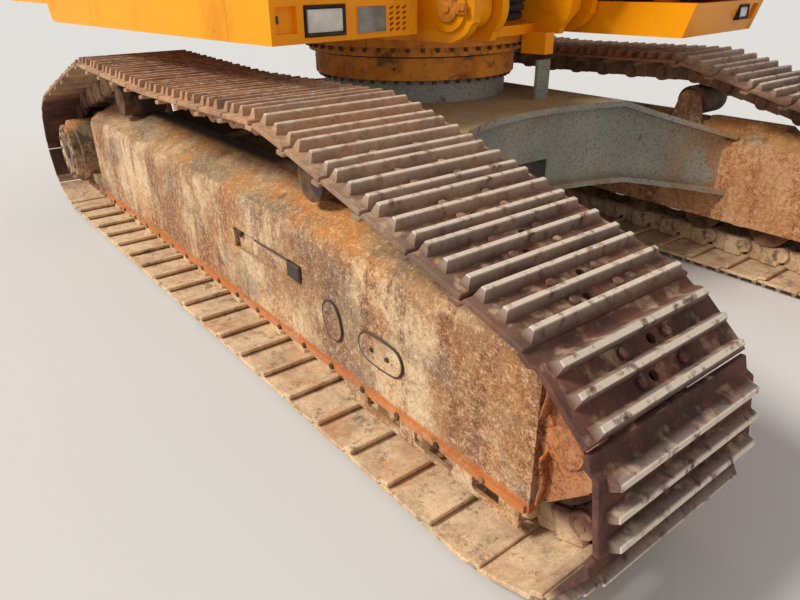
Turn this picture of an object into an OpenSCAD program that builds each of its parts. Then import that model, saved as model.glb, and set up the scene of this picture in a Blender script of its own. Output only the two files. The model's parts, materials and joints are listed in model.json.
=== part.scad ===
// Crawler excavator of the 48 tonne class, parked with its bucket on the ground.
// Frame: X forward along the arm, Y to the left, Z up, ground at z = 0, millimetres.
// The origin lies under the middle of the whole machine's box.

/* [Place] */
// Distance of the slew axis from the origin along X
slew_x = -1930; // [-2400:1:-1500]
// Turn of the upper structure against the tracks, in degrees
heading = 6; // [0:0.5:10]
// Distance of the tracks' middle ahead of the slew axis
track_fwd = 130; // [60:5:180]
// Distance of the upper structure's datum ahead of the slew axis
deck_fwd = 130; // [60:5:180]

/* [Undercarriage] */
// Distance between the centre lines of the two tracks
track_gauge = 2680; // [2600:10:2800]
// Width of a track shoe
shoe_w = 700; // [560:10:760]
// Distance from one chain pin to the next
chain_pitch = 221; // [216:1:226]
// Number of shoes on one track
shoe_count = 49; // [48:1:51]
// Height of the bars on a shoe
bar_h = 34; // [20:1:40]
// Distance from the pin line to a shoe's outer face
link_h = 100; // [95:1:110]
// Radius of the pin line round idler and sprocket
wheel_r = 320; // [312:1:345]
// Height of the upper run's outer face above the ground
track_h = 1204; // [1160:1:1240]
// Distance of the front carrier roller behind the idler's axle
front_carrier_inset = 1150; // [1000:10:1250]
// Distance of the rear carrier roller ahead of the sprocket's axle
rear_carrier_inset = 960; // [900:10:1100]
// Sag of the upper run between its carrier rollers
track_sag = 30; // [0:1:40]
// Width of the link chain under the shoes
chain_w = 200; // [160:5:220]
// Number of track rollers on one side
roller_count = 9; // [7:1:10]
// Width of a track frame
frame_w = 400; // [380:5:420]
// Height of the track frame's lower edge
frame_z0 = 215; // [205:1:240]
// Height of the bend between the frame's side and its sloping top
frame_bend_z = 735; // [700:5:760]
// Height of the ridge of the track frame
frame_top_z = 855; // [830:5:870]

/* [Slew ring] */
// Radius of the fixed race
race_r = 600; // [580:5:640]
// Radius of the turning race's flange
flange_r = 670; // [650:5:700]
// Height of the fixed race's lower edge
ring_z0 = 1110; // [1080:5:1140]
// Height of the gap between the races
ring_joint_z = 1230; // [1200:5:1250]
// Height of the turning race's top
ring_z1 = 1325; // [1300:5:1340]

/* [Upper structure] */
// Width over the side covers
upper_w = 2900; // [2800:10:3000]
// Thickness of the deck plate
deck_t = 50; // [30:5:70]
// Height of the right sill's lower edge
right_sill_z = 1365; // [1340:5:1400]
// Height of the cab base's lower edge
cab_base_z = 1315; // [1300:5:1330]
// Distance of the right lamp box's front face ahead of the deck's datum
lamp_box_x = 500; // [420:10:600]
// Distance of the cab's front ahead of the deck's datum
cab_x1 = 1320; // [1300:10:1500]
// Distance of the cab's rear wall behind the deck's datum
cab_back = 520; // [400:10:520]
// Distance of the cab's right side left of the deck's middle
cab_y0 = 600; // [600:5:620]
// Height of the sills' top, which tank and doors stand on
sill_top_z = 1616; // [1600:2:1640]
// Height of the cab floor's lower face
cab_z0 = 1500; // [1490:5:1510]
// Height of the cab roof
cab_z1 = 3240; // [3100:10:3300]
// Thickness of the cab's posts and walls
cab_t = 60; // [40:5:80]
// Thickness of the window panes
glass_t = 8; // [5:1:12]
// Height of the hood's top
hood_z = 2640; // [2500:10:2700]
// Thickness of doors, hood and covers
cover_t = 40; // [25:5:50]
// Open seam where two wall panels meet
panel_seam = 3; // [2:1:6]
// Radius of the counterweight's rear face about the deck's datum
tail_r = 3450; // [3400:10:3600]
// Height of the counterweight's lower face
tail_z0 = 1470; // [1450:5:1500]

/* [Arm] */
// Distance of the boom's foot pin ahead of the deck's datum
foot_x = 200; // [180:5:220]
// Height of the boom's foot pin
foot_z = 2180; // [2160:5:2200]
// Distance from the boom's foot pin to its head pin
boom_l = 6600; // [6500:10:6700]
// Angle of the line from foot pin to head pin above level
boom_rest = 20.078; // [18:0.5:22]
// Width of the boom's box
boom_w = 460; // [420:10:500]
// Distance from the stick's pivot to the bucket pin
stick_l = 3050; // [3000:10:3100]
// Angle of the stick against the boom's pin line
stick_rest = -116; // [-118:0.5:-114]
// Width of the stick's box
stick_w = 400; // [360:10:440]
// Angle of the bucket against the stick
bucket_rest = -19.378; // [-21:0.5:-18]
// Width of the bucket
bucket_w = 1560; // [1400:10:1700]
// Number of teeth on the bucket
tooth_count = 5; // [4:1:6]

/* [Cylinders] */
// Distance of the boom cylinders' pair from the middle
boom_cyl_y = 390; // [385:5:400]
// Outer diameter of a boom cylinder's barrel
boom_barrel_d = 190; // [170:5:195]
// Diameter of a boom cylinder's rod
boom_rod_d = 105; // [90:5:120]
// Outer diameter of the stick cylinder's barrel
stick_barrel_d = 210; // [180:5:220]
// Diameter of the stick cylinder's rod
stick_rod_d = 120; // [100:5:130]
// Outer diameter of the bucket cylinder's barrel
bucket_barrel_d = 185; // [160:5:190]
// Diameter of the bucket cylinder's rod
bucket_rod_d = 105; // [90:5:115]

/* [Fits] */
// Gap between pieces that move past each other
gap = 6; // [5:1:10]
// Gap between pieces that rest against each other
seat = 0.3; // [0.2:0.1:0.5]

/* [Hidden] */

$fn = 64;
yellow = [1.0, 0.66, 0.05];
rust = [0.45, 0.28, 0.17];
grey_green = [0.42, 0.44, 0.40];
dark = [0.12, 0.12, 0.12];
chrome = [0.8, 0.8, 0.82];
glass = [0.55, 0.65, 0.68];

// Chain path in the plane of the track: X forward from the middle, Y up
plate_z = bar_h;
wheel_z = plate_z + link_h + wheel_r;
run_z = track_h - bar_h - link_h;
function slope(inset) = atan2(run_z - wheel_z, inset) - asin(wheel_r / norm([inset, run_z - wheel_z]));
function tangent_l(inset) = sqrt(pow(norm([inset, run_z - wheel_z]), 2) - pow(wheel_r, 2));
front_slope = slope(front_carrier_inset);
rear_slope = slope(rear_carrier_inset);
arc_l = wheel_r * PI * (360 - front_slope - rear_slope) / 180;
slopes_l = tangent_l(front_carrier_inset) + tangent_l(rear_carrier_inset);
wheel_x = (shoe_count * chain_pitch - arc_l - slopes_l + front_carrier_inset + rear_carrier_inset) / 4;
front_carrier_x = wheel_x - front_carrier_inset;
rear_carrier_x = rear_carrier_inset - wheel_x;
arc_steps = 14;
function arc_points(centre, r, a0, a1) =
    [for (i = [0 : arc_steps]) let (a = a0 + (a1 - a0) * i / arc_steps)
        [centre.x + r * cos(a), centre.y + r * sin(a)]];
// Loop of points at the distance off outside the pin line
function loop_points(off) = concat(
    arc_points([wheel_x, wheel_z], wheel_r + off, -90, 90 - front_slope),
    [[front_carrier_x, run_z + off],
     [(front_carrier_x + rear_carrier_x) / 2, run_z + off - track_sag],
     [rear_carrier_x, run_z + off]],
    arc_points([-wheel_x, wheel_z], wheel_r + off, 90 + rear_slope, 270));
pin_loop = concat(loop_points(0), [loop_points(0)[0]]);
pin_run = [for (i = 0, s = 0; i < len(pin_loop);
    s = s + (i + 1 < len(pin_loop) ? norm(pin_loop[i + 1] - pin_loop[i]) : 0), i = i + 1) s];
loop_l = pin_run[len(pin_run) - 1];
run_x = [for (i = [0 : len(pin_run) - 1]) [pin_run[i], pin_loop[i].x]];
run_y = [for (i = [0 : len(pin_run) - 1]) [pin_run[i], pin_loop[i].y]];
function chain_pin(k) = let (s = (k % shoe_count) * loop_l / shoe_count) [lookup(s, run_x), lookup(s, run_y)];
// Point of shoe k at u along the shoe and v outside the pin line
function on_shoe(k, u, v) = let (a = chain_pin(k), b = chain_pin(k + 1), d = (b - a) / norm(b - a))
    a + d * u + [d.y, -d.x] * v;
bar_places = [-83, 0, 83];
bar_foot = 13;
bar_tip = 7;
shoe_inner = 68;
chain_inner = -55;
chain_outer = 75;
tread_r = (wheel_r + chain_inner) * cos(90 / arc_steps) - seat;

roller_r = 100;
roller_z = plate_z + link_h - chain_inner + roller_r + seat;
roller_span = 3300;
carrier_r = 88;
// Carrier rollers: place along X and height, tangent to the sloping chain
carriers = [for (c = [[front_carrier_x, front_slope], [rear_carrier_x, rear_slope]])
    [c[0], run_z + chain_inner - (carrier_r + seat) / cos(c[1])]];
frame_x0 = -2120;
frame_x1 = 2270;
drive_plate_x = -1760;
inner_edge_z = 275;
axle_r = 70;
axle_w = 300;
carbody_top_z = 985;
pedestal_r = 550;
web_inset = 50;
flange_t = 30;
fork_rear_x = -1740;
fork_front_x = 1600;
fork_w = 230;
guard_t = 35;
hub_r = 225;
frame_ceiling_z = 425;

deck_z = ring_z1 + deck_t;
bracket_y = 295;
bracket_t = 50;
ear_y = 500;
ear_t = 50;
foot_y = bracket_y - bracket_t / 2;
ram_foot = [620, 1480];
half_w = upper_w / 2;
tail_x = 2460;
sill_x0 = -1950;
sill_seam_x = -1300;
machine_x1 = -560;
tank_x1 = -350;
cab_y1 = half_w - 20;
door_x0 = 230;
door_x1 = cab_x1 - 110;
cab_base_y0 = cab_y0 - 55;
wing_z0 = deck_z - 20;
wing_z1 = deck_z + 25;
tail_floor_z = 1500;
wall_y = half_w - cover_t - gap;
wall_z1 = hood_z - cover_t - gap;
rear_wall_x = gap - tail_x;
door_top_z = hood_z - 180 - gap;
door_low_z = sill_top_z + gap;
// Side doors: place of the hinge line along X, front edge, and side of the machine
hinge_r = 12;
hinge_y = half_w + hinge_r + 3;
hinge_leaf_t = 6;
hinge_zs = [1720, 2250];
door_table = [[rear_wall_x + 33, sill_seam_x - gap, -1],
              [rear_wall_x + 33, -1480, 1],
              [-1441, machine_x1 - gap, 1]];
hood_hinge = [3 - tail_x, hood_z + hinge_r];
hood_hinge_ys = [-1000, 0, 1000];
engine_z0 = 1745;
engine_z1 = 2480;
engine_x0 = -2250;
engine_x1 = -1400;
frame_tail_x = -2440;
frame_half = 760;
deck_front_r = 720;
deck_front_x = 160;
deck_right_y = -610;
tank_y = -560;

// Pins of the arm in the plane of each piece: X along its pin line, Y to its outer side
boom_ram_pin = [2540, 1060];
stick_ram_foot = [3300, 1680];
stick_ram_pin = [-850, 350];
bucket_ram_foot = [150, 560];
rocker_pin = [2490, 40];
rocker_l = 640;
link_l = 620;
bucket_link_pin = [-120, 455];
// Joints of the linkage at rest, worked out from the pins above
function turn(p, a) = [p.x * cos(a) - p.y * sin(a), p.x * sin(a) + p.y * cos(a)];
function bearing(p) = atan2(p.y, p.x);
foot_pin = [foot_x, foot_z];
boom_ram_vec = foot_pin + turn(boom_ram_pin, boom_rest) - ram_foot;
stick_ram_vec = [boom_l, 0] + turn(stick_ram_pin, stick_rest) - stick_ram_foot;
link_low = [stick_l, 0] + turn(bucket_link_pin, bucket_rest);
rocker_to_link = link_low - rocker_pin;
rocker_a = bearing(rocker_to_link)
    + acos((pow(rocker_l, 2) + pow(norm(rocker_to_link), 2) - pow(link_l, 2))
        / (2 * rocker_l * norm(rocker_to_link)));
link_high = rocker_pin + rocker_l * [cos(rocker_a), sin(rocker_a)];
bucket_ram_vec = link_high - bucket_ram_foot;

// Places
module on_slew() translate([slew_x, 0, 0]) children();
module on_carriage() on_slew() rotate([0, 0, -heading]) translate([track_fwd, 0, 0]) children();
module on_deck() on_slew() translate([deck_fwd, 0, 0]) children();
module on_boom() on_deck() translate([foot_x, 0, foot_z]) rotate([0, -boom_rest, 0]) children();
module on_stick() on_boom() translate([boom_l, 0, 0]) rotate([0, -stick_rest, 0]) children();
module on_bucket() on_stick() translate([stick_l, 0, 0]) rotate([0, -bucket_rest, 0]) children();
// Outline in the XZ plane, w wide about y
module plate(w, y = 0) translate([0, y, 0]) rotate([90, 0, 0]) linear_extrude(w, center = true) children();
// Round bar along Y, in the middle at p in the XZ plane
module bar_y(p, r, w, y = 0) translate([p.x, y, p.y]) rotate([90, 0, 0]) cylinder(h = w, r = r, center = true);
module block(x0, x1, y0, y1, z0, z1) translate([x0, y0, z0]) cube([x1 - x0, y1 - y0, z1 - z0]);
module tube_x(x0, x1, r, y, z) translate([x0, y, z]) rotate([0, 90, 0]) cylinder(h = x1 - x0, r = r);
module tube_z(z0, z1, r, x, y) translate([x, y, z0]) cylinder(h = z1 - z0, r = r);

// Undercarriage
module side(s) on_carriage() translate([0, s * track_gauge / 2, 0]) mirror([0, s > 0 ? 0 : 1, 0]) children();

carbody_reach = track_gauge / 2 - frame_w / 2;
// Plan of the X-shaped body between the tracks, drawn in by inset at its hollows
module carbody_plan(inset = 0) difference() {
    square([2900 - 2 * inset, 2 * carbody_reach], center = true);
    for (s = [-1, 1]) {
        translate([s * 2376, 0]) circle(r = 1506 + inset, $fn = 256);
        translate([0, s * (carbody_reach + 350)]) circle(r = 600 + inset, $fn = 256);
    }
}
// Cross section of the body from its lower to its upper face, or of one of its flanges
function carbody_low(up) = [[-carbody_reach, 430 + up], [-650, 520 + up], [650, 520 + up], [carbody_reach, 430 + up]];
function carbody_high(down) = [[carbody_reach, 790 - down], [600, carbody_top_z - down],
    [-600, carbody_top_z - down], [-carbody_reach, 790 - down]];
module carbody_slice(outline, inset) intersection() {
    translate([0, 0, 300]) linear_extrude(800) carbody_plan(inset);
    rotate([90, 0, 90]) linear_extrude(3000, center = true) polygon(outline);
}
module carbody() color(grey_green) on_carriage() {
    difference() {
        union() {
            carbody_slice(concat(carbody_low(0), carbody_high(0)), web_inset);
            carbody_slice(concat(carbody_low(0), [for (i = [3 : -1 : 0]) carbody_low(flange_t)[i]]), 0);
            carbody_slice(concat(carbody_high(0), [for (i = [3 : -1 : 0]) carbody_high(flange_t)[i]]), 0);
        }
        for (s = [-1, 1]) translate([s * 750, 0, 0]) cylinder(h = 700, r = 180);
    }
    tube_z(carbody_top_z - 1, ring_z0 - seat, pedestal_r, -track_fwd, 0);
    // Upright stop plate ahead of the ring
    block(635, 655, 232, 332, carbody_top_z - 1, 1195);
}

// Section of a track frame, its outboard side at +X
module frame_section() {
    h = frame_w / 2;
    polygon([[h, frame_z0], [h, frame_bend_z - 20], [h - 15, frame_bend_z + 15], [h - 60, frame_bend_z + 45],
             [0, frame_top_z - 10], [-h + 110, frame_top_z], [-h + 40, frame_top_z - 75], [-h, frame_top_z - 110], [-h, inner_edge_z],
             [-h + guard_t, inner_edge_z], [-h + guard_t, frame_ceiling_z], [h - guard_t, frame_ceiling_z], [h - guard_t, frame_z0]]);
}

module stadium(l, r) {
    square([l, 2 * r], center = true);
    for (s = [-1, 1]) translate([s * l / 2, 0]) circle(r = r);
}
// Patch welded on the outboard side of a track frame, 8 mm proud
module frame_patch(x, z, l, r, lean = 0) translate([x, frame_w / 2 - 1, z]) rotate([-90, 0, 0]) linear_extrude(9)
    rotate(lean) stadium(l, r);

module track_frame() {
    carrier_half = carrier_r + 40;
    side_y = frame_w / 2;
    top_lean = atan2(frame_top_z - 10 - frame_bend_z - 45, side_y - 60);
    difference() {
        union() {
            rotate([90, 0, 90]) translate([0, 0, frame_x0]) linear_extrude(frame_x1 - frame_x0) frame_section();
            // Rail along the lower edge
            block(frame_x0, frame_x1 - 10, side_y - 1, side_y + 12, frame_z0, frame_z0 + 28);
        }
        // Top drawn down under the chain's front slope
        plate(600) polygon([[1500, frame_top_z + 15], [frame_x1 + 1, 750], [frame_x1 + 1, 1000], [1500, 1000]]);
        for (x = [[frame_x0 - 1, fork_rear_x], [fork_front_x, frame_x1 + 1]])
            block(x[0], x[1], -fork_w / 2, fork_w / 2, 0, 1000);
        bar_y([-wheel_x, wheel_z], hub_r + gap, 500);
        bar_y([wheel_x, wheel_z], axle_r, axle_w);
        for (c = carriers)
            block(c.x - carrier_half, c.x + carrier_half, -chain_w / 2 - 30, chain_w / 2 + 30, c.y - carrier_r - 12, 1000);
        // Rear end cut back towards the top, and outboard down to the rail
        translate([frame_x0, 0, 0]) plate(600) polygon([[-10, 560], [-10, 1000], [310, 1000], [220, 740]]);
        block(frame_x0 - 1, drive_plate_x, fork_w / 2 - 1, side_y + 13, 320, 1000);
        // Recess in the side and hole in the sloping top
        block(430, 1040, side_y - 20, side_y + 1, 485, 583);
        translate([1905, side_y / 2 - 20, 780]) rotate([-top_lean, 0, 0]) linear_extrude(80) stadium(40, 24);
    }
    frame_patch(1260, 434, 50, 55, 70);
    frame_patch(1565, 428, 140, 55);
    for (c = carriers) translate([c.x, -(chain_w / 2 + 45), 0]) {
        plate(30) polygon([[-110, 780], [-60, c.y + 30], [60, c.y + 30], [110, 780]]);
        bar_y([0, c.y], 66, 30);
    }
}

module track() {
    translate([0, shoe_w / 2, 0]) rotate([90, 0, 0]) linear_extrude(shoe_w) difference() {
        polygon([for (k = [0 : shoe_count - 1], u = bar_places,
                c = [[-bar_foot, 0], [-bar_tip, bar_h], [bar_tip, bar_h], [bar_foot, 0]])
            on_shoe(k, loop_l / shoe_count / 2 + u + c.x, link_h + c.y)]);
        polygon(loop_points(shoe_inner));
    }
    translate([0, chain_w / 2, 0]) rotate([90, 0, 0]) linear_extrude(chain_w) difference() {
        polygon(loop_points(chain_outer));
        polygon(loop_points(chain_inner));
    }
}

module idler() {
    difference() {
        bar_y([wheel_x, wheel_z], tread_r, chain_w - 10);
        for (s = [-1, 1]) translate([0, s * chain_w / 2, 0]) difference() {
            bar_y([wheel_x, wheel_z], tread_r - 50, 70);
            bar_y([wheel_x, wheel_z], 110, 80);
        }
    }
    bar_y([wheel_x, wheel_z], axle_r - seat, axle_w - 2 * seat);
}

module final_drive() {
    sprocket_r = tread_r;
    difference() {
        bar_y([-wheel_x, wheel_z], sprocket_r, 70);
        for (i = [0 : 20]) rotate_about([-wheel_x, wheel_z], i * 360 / 21)
            bar_y([-wheel_x + sprocket_r + 8, wheel_z], 26, 80);
    }
    bar_y([-wheel_x, wheel_z], hub_r, frame_w / 2 + 45, frame_w / 4 + 22);
    bar_y([-wheel_x, wheel_z], hub_r - 30, 60, frame_w / 2 + 65);
    bar_y([-wheel_x, wheel_z], hub_r, frame_w / 2 + 120, -frame_w / 4 - 60);
}
module rotate_about(p, a) translate([p.x, 0, p.y]) rotate([0, -a, 0]) translate([-p.x, 0, -p.y]) children();

module rollers() {
    for (i = [0 : roller_count - 1]) {
        x = roller_span * (i / (roller_count - 1) - 0.5);
        bar_y([x, roller_z], roller_r, chain_w);
        bar_y([x, roller_z], roller_r + 22, 18, chain_w / 2 + 12);
        bar_y([x, roller_z], roller_r + 22, 18, -chain_w / 2 - 12);
        bar_y([x, roller_z], 40, frame_w - 2 * guard_t - 2 * seat);
    }
    for (c = carriers) bar_y(c, carrier_r, chain_w + 60 - 2 * seat);
}

module ring_fixed() color(yellow) on_slew() difference() {
    union() {
        tube_z(ring_z0, ring_joint_z - 3, race_r, 0, 0);
        tube_z(ring_z0, ring_joint_z + 3 - seat, race_r - 60, 0, 0);
    }
    tube_z(ring_z0 - 1, ring_joint_z + 4, race_r - 140, 0, 0);
}

module ring_turning() color(yellow) on_slew() difference() {
    union() {
        tube_z(ring_joint_z + 3, ring_z1, flange_r - 35, 0, 0);
        tube_z(ring_z1 - 45, ring_z1 - seat, flange_r, 0, 0);
    }
    tube_z(ring_joint_z, ring_z1 + 1, race_r - 120, 0, 0);
}

// Upper structure
module upper_frame() color(yellow) on_deck() {
    difference() {
        union() {
            block(frame_tail_x, -cab_back, -frame_half, frame_half, ring_z1, deck_z);
            block(-cab_back - 1, deck_front_x, -frame_half, cab_base_y0, ring_z1, deck_z);
            intersection() {
                tube_z(ring_z1, deck_z, deck_front_r, -deck_fwd, 0);
                block(-deck_fwd, deck_front_r, deck_right_y, cab_base_y0, 0, deck_z);
            }
            // Box under the deck's front edge
            block(545, 700, 160, 240, 1225, ring_z1 + 10);
            // Side wings of the deck, with their raised tails
            block(sill_x0, lamp_box_x - 330, 60 - half_w, -700, wing_z0, wing_z1);
            block(sill_x0, -cab_back, 700, half_w - 60, wing_z0, wing_z1);
            for (s = [-1, 1]) {
                block(sill_x0, sill_x0 + 20, s * 1045 - 345, s * 1045 + 345, wing_z0, tail_floor_z);
                block(rear_wall_x, sill_x0 + 20, s * 1045 - 345, s * 1045 + 345, tail_floor_z - 30, tail_floor_z);
                block(frame_tail_x, sill_x0, s * 730 - 30, s * 730 + 30, deck_z - 1, tail_floor_z);
            }
        }
        tube_z(ring_z1 - 1, deck_z + 30, 330, -deck_fwd, 0);
    }
    for (s = [-1, 1]) {
        difference() {
            union() {
                plate(bracket_t, s * bracket_y) polygon([[frame_tail_x, deck_z - 1], [frame_tail_x, 1640], [-900, 1790],
                    [foot_x - 330, 2180], [foot_x + 150, 2260], [foot_x + 205, 2100], [490, 1720],
                    [560, 1635], [740, 1560], [770, 1480], [700, ring_z1]]);
                bar_y(foot_pin, 200, bracket_t, s * bracket_y);
                bar_y(foot_pin, 130, bracket_t + 60, s * (bracket_y + 30));
                bar_y(ram_foot, 150, bracket_t, s * bracket_y);
            }
            bar_y(foot_pin, 54, 2000);
            bar_y(ram_foot, 49, 2000);
        }
        difference() {
            union() {
                plate(ear_t, s * ear_y) polygon([[120, deck_z - 1], [120, 1650], [440, 1630], [700, 1580],
                    [765, 1500], [765, 1420], [640, ring_z1], [300, ring_z1]]);
                bar_y(ram_foot, 150, ear_t, s * ear_y);
                bar_y(ram_foot, 105, ear_t + 15, s * (ear_y + 7));
            }
            bar_y(ram_foot, 49, 2000);
        }
        // Bearers of the engine
        for (x = [engine_x0 + 50, engine_x1 - 100]) block(x, x + 100, s * bracket_y - 120, s * bracket_y + 120, deck_z - 1, engine_z0 - seat);
    }
    // Pins of the boom foot and of the boom cylinders
    bar_y(foot_pin, 55, 2 * (bracket_y + bracket_t) + 60);
    for (s = [-1, 1]) bar_y(ram_foot, 50, ear_y - bracket_y + 70, s * (ear_y + bracket_y) / 2);
    block(-120, 120, -foot_y - 1, foot_y + 1, deck_z - 1, 1560);
}

module side_sills() color(yellow) on_deck() {
    for (y = [30 - half_w, half_w - 30]) plate(60, y) polygon([[rear_wall_x, 1470], [rear_wall_x, sill_top_z],
        [sill_seam_x - 4, sill_top_z], [sill_seam_x - 4, right_sill_z], [sill_x0 + 40, right_sill_z],
        [sill_x0 + 8, right_sill_z + 12], [sill_x0 - 12, right_sill_z + 50], [sill_x0 - 25, 1470]]);
    for (end = [[-1, lamp_box_x - 330], [1, -cab_back - 2]])
        plate(60, end[0] * (half_w - 30)) polygon([[sill_seam_x, right_sill_z], [sill_seam_x, sill_top_z],
            [end[1], sill_top_z], [end[1], right_sill_z]]);
}

// Lamp box at the right front, its features measured from its right side
module lamp_box() color(yellow) on_deck() {
    w = 828;
    x0 = lamp_box_x - 328;
    difference() {
        block(x0, lamp_box_x, -half_w, -half_w + w, right_sill_z, sill_top_z);
        block(x0 + 40, lamp_box_x - 30, -half_w + 40, -half_w + w - 40, right_sill_z - 1, 1590);
        // Handle recess, lamp and slanted air slots in the front face
        block(lamp_box_x - 25, lamp_box_x + 1, -half_w + 25, -half_w + 130, 1407, 1510);
        block(lamp_box_x - 20, lamp_box_x + 1, -half_w + 165, -half_w + 390, 1387, 1512);
        for (i = [0 : 4], j = [0 : 2])
            translate([lamp_box_x - 31, -half_w + 652 + j * 41, 1384 + i * 23]) rotate([25, 0, 0]) cube([32, 26, 12]);
    }
    block(lamp_box_x - 21, lamp_box_x - 6, -half_w + 178, -half_w + 377, 1397, 1502);
    // Bare plate beside the lamp
    block(lamp_box_x - 1, lamp_box_x + 4, -half_w + 450, -half_w + 624, 1388, 1500);
}

module cab_base() color(yellow) on_deck() {
    difference() {
        block(-cab_back, cab_x1, cab_base_y0, half_w, cab_base_z, cab_z0 - 20);
        translate([cab_x1, 0, 0]) plate(4000) polygon([[-50, cab_base_z - 1], [1, cab_base_z - 1], [1, cab_z0 - 17]]);
        block(cab_x1 - 62, cab_x1 + 1, half_w - 330, half_w - 190, cab_base_z + 60, cab_base_z + 145);
        block(cab_x1 - 52, cab_x1 + 1, half_w - 140, half_w - 60, cab_base_z + 60, cab_base_z + 145);
        block(-cab_back - 1, cab_x1 - 100, cab_base_y0 + 60, half_w - 60, cab_base_z - 1, cab_z0 - 60);
        tube_z(cab_base_z - 1, ring_z1, flange_r + gap, -deck_fwd, 0);
    }
    block(cab_x1 - 63, cab_x1 - 34, half_w - 322, half_w - 198, cab_base_z + 68, cab_base_z + 137);
    // Mounts under the cab floor
    for (x = [-300, cab_x1 - 250], y = [cab_y0 + 120, half_w - 200])
        tube_z(cab_z0 - 21, cab_z0 - seat, 70, x, y);
}

// Side outline of the cab: upright rear, raked windscreen, rounded roof corners
module cab_outline(inset = 0) {
    polygon([[-cab_back + inset, cab_z0 + inset], [-cab_back + inset, cab_z1 - 120 - inset / 2],
             [-cab_back + 110 + inset / 2, cab_z1 - inset], [cab_x1 - 420 - inset / 2, cab_z1 - inset],
             [cab_x1 - 290 - inset, cab_z1 - 110 - inset / 2], [cab_x1 - inset, 2250],
             [cab_x1 - inset, cab_z0 + inset]]);
}

module cab_windows() {
    mid = (cab_y0 + cab_y1) / 2;
    w = cab_y1 - cab_y0;
    // Windscreen, upper and lower part
    translate([cab_x1, mid, 0]) {
        block(-500, 60, -w / 2 + cab_t + 15, w / 2 - cab_t - 15, 2330, cab_z1 - 190);
        block(-cab_t - 1, 60, -w / 2 + cab_t + 15, w / 2 - cab_t - 15, cab_z0 + 200, 2210);
    }
    // Right side and rear window
    plate(2 * cab_t, cab_y0) polygon([[-cab_back + 150, 2100], [-cab_back + 150, cab_z1 - 200],
        [cab_x1 - 420, cab_z1 - 200], [cab_x1 - 100, 2240], [cab_x1 - 100, 1820], [-cab_back + 700, 1820],
        [-cab_back + 700, 2100]]);
    block(-cab_back - 1, -cab_back + cab_t + 1, cab_y0 + 110, cab_y1 - 110, 2250, cab_z1 - 240);
    // Roof window
    block(250, 800, cab_y0 + 180, cab_y1 - 180, cab_z1 - cab_t - 1, cab_z1 + 1);
    // Rear left window beside the door
    plate(2 * cab_t, cab_y1) polygon([[-cab_back + 130, 2250], [-cab_back + 130, cab_z1 - 220],
        [door_x0 - 110, cab_z1 - 200], [door_x0 - 110, 2250]]);
}

module door_outline(inset = 0) polygon([[door_x0 + inset, cab_z0 + 90 + inset], [door_x0 + inset, cab_z1 - 150 - inset],
    [cab_x1 - 400 - inset / 2, cab_z1 - 150 - inset], [door_x1 - inset, 2260], [door_x1 - inset, cab_z0 + 90 + inset]]);

module cab() color(yellow) on_deck() {
    difference() {
        plate(cab_y1 - cab_y0, (cab_y0 + cab_y1) / 2) cab_outline();
        plate(cab_y1 - cab_y0 - 2 * cab_t, (cab_y0 + cab_y1) / 2) cab_outline(cab_t);
        cab_windows();
        plate(2 * cab_t + 2, cab_y1) door_outline();
    }
    for (z = [1750, 2700], e = [[z - 40, z - seat], [z + 90 + seat, z + 130]]) cab_knuckle(e[0], e[1], -50);
}

module cab_glass() color(glass) on_deck() {
    mid = (cab_y0 + cab_y1) / 2;
    w = cab_y1 - cab_y0 - 2 * cab_t - 30 - 2 * seat;
    intersection() {
        difference() {
            plate(w, mid) cab_outline(cab_t / 2 - glass_t / 2);
            plate(w + 2, mid) cab_outline(cab_t / 2 + glass_t / 2);
        }
        union() {
            block(cab_x1 - 500, cab_x1, cab_y0, cab_y1, 2330 + seat, cab_z1 - 190 - seat);
            block(cab_x1 - 100, cab_x1, cab_y0, cab_y1, cab_z0 + 200 + seat, 2210 - seat);
        }
    }
    intersection() {
        for (y = [cab_y0 + cab_t / 2, cab_y1 - cab_t / 2]) plate(glass_t, y) cab_outline(cab_t);
        cab_windows();
        union() {
            block(-cab_back, cab_x1, cab_y0, cab_y0 + cab_t, cab_z0, cab_z1);
            block(-cab_back, door_x0, cab_y1 - cab_t, cab_y1, cab_z0, cab_z1);
        }
    }
    block(-cab_back + cab_t / 2, -cab_back + cab_t / 2 + glass_t, cab_y0 + 110 + seat, cab_y1 - 110 - seat,
        2250 + seat, cab_z1 - 240 - seat);
    block(250 + seat, 800 - seat, cab_y0 + 180 + seat, cab_y1 - 180 - seat, cab_z1 - 40, cab_z1 - 40 + glass_t);
}

// Knuckle of the cab door's hinge, with a leaf that reaches dx along X
module cab_knuckle(z0, z1, dx) {
    tube_z(z0, z1, hinge_r, door_x0 + 3, cab_y1 + hinge_r + 3);
    block(door_x0 + 3 + min(0, dx), door_x0 + 3 + max(0, dx), cab_y1 - 1, cab_y1 + hinge_leaf_t, z0, z1);
}

module cab_door() color(yellow) on_deck() {
    y = cab_y1 - cab_t / 2;
    difference() {
        plate(cab_t, y) door_outline(gap);
        plate(cab_t + 2, y) polygon([[door_x0 + 90, 1900], [door_x0 + 90, cab_z1 - 230],
            [cab_x1 - 440, cab_z1 - 230], [door_x1 - 80, 2230], [door_x1 - 80, 1900]]);
        plate(cab_t + 2, y) polygon([[door_x0 + 330, 1690], [door_x0 + 330, 1840], [door_x1 - 80, 1840],
            [door_x1 - 80, 1690]]);
    }
    // Moving halves of the hinges, and the handle
    for (z = [1750, 2700]) cab_knuckle(z, z + 90, 60);
    tube_z(1750, 1890, 12, door_x1 - 45, cab_y1 + 30);
    for (z = [1765, 1875]) translate([door_x1 - 45, cab_y1 - 1, z]) rotate([-90, 0, 0]) cylinder(h = 32, r = 8);
}

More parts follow.
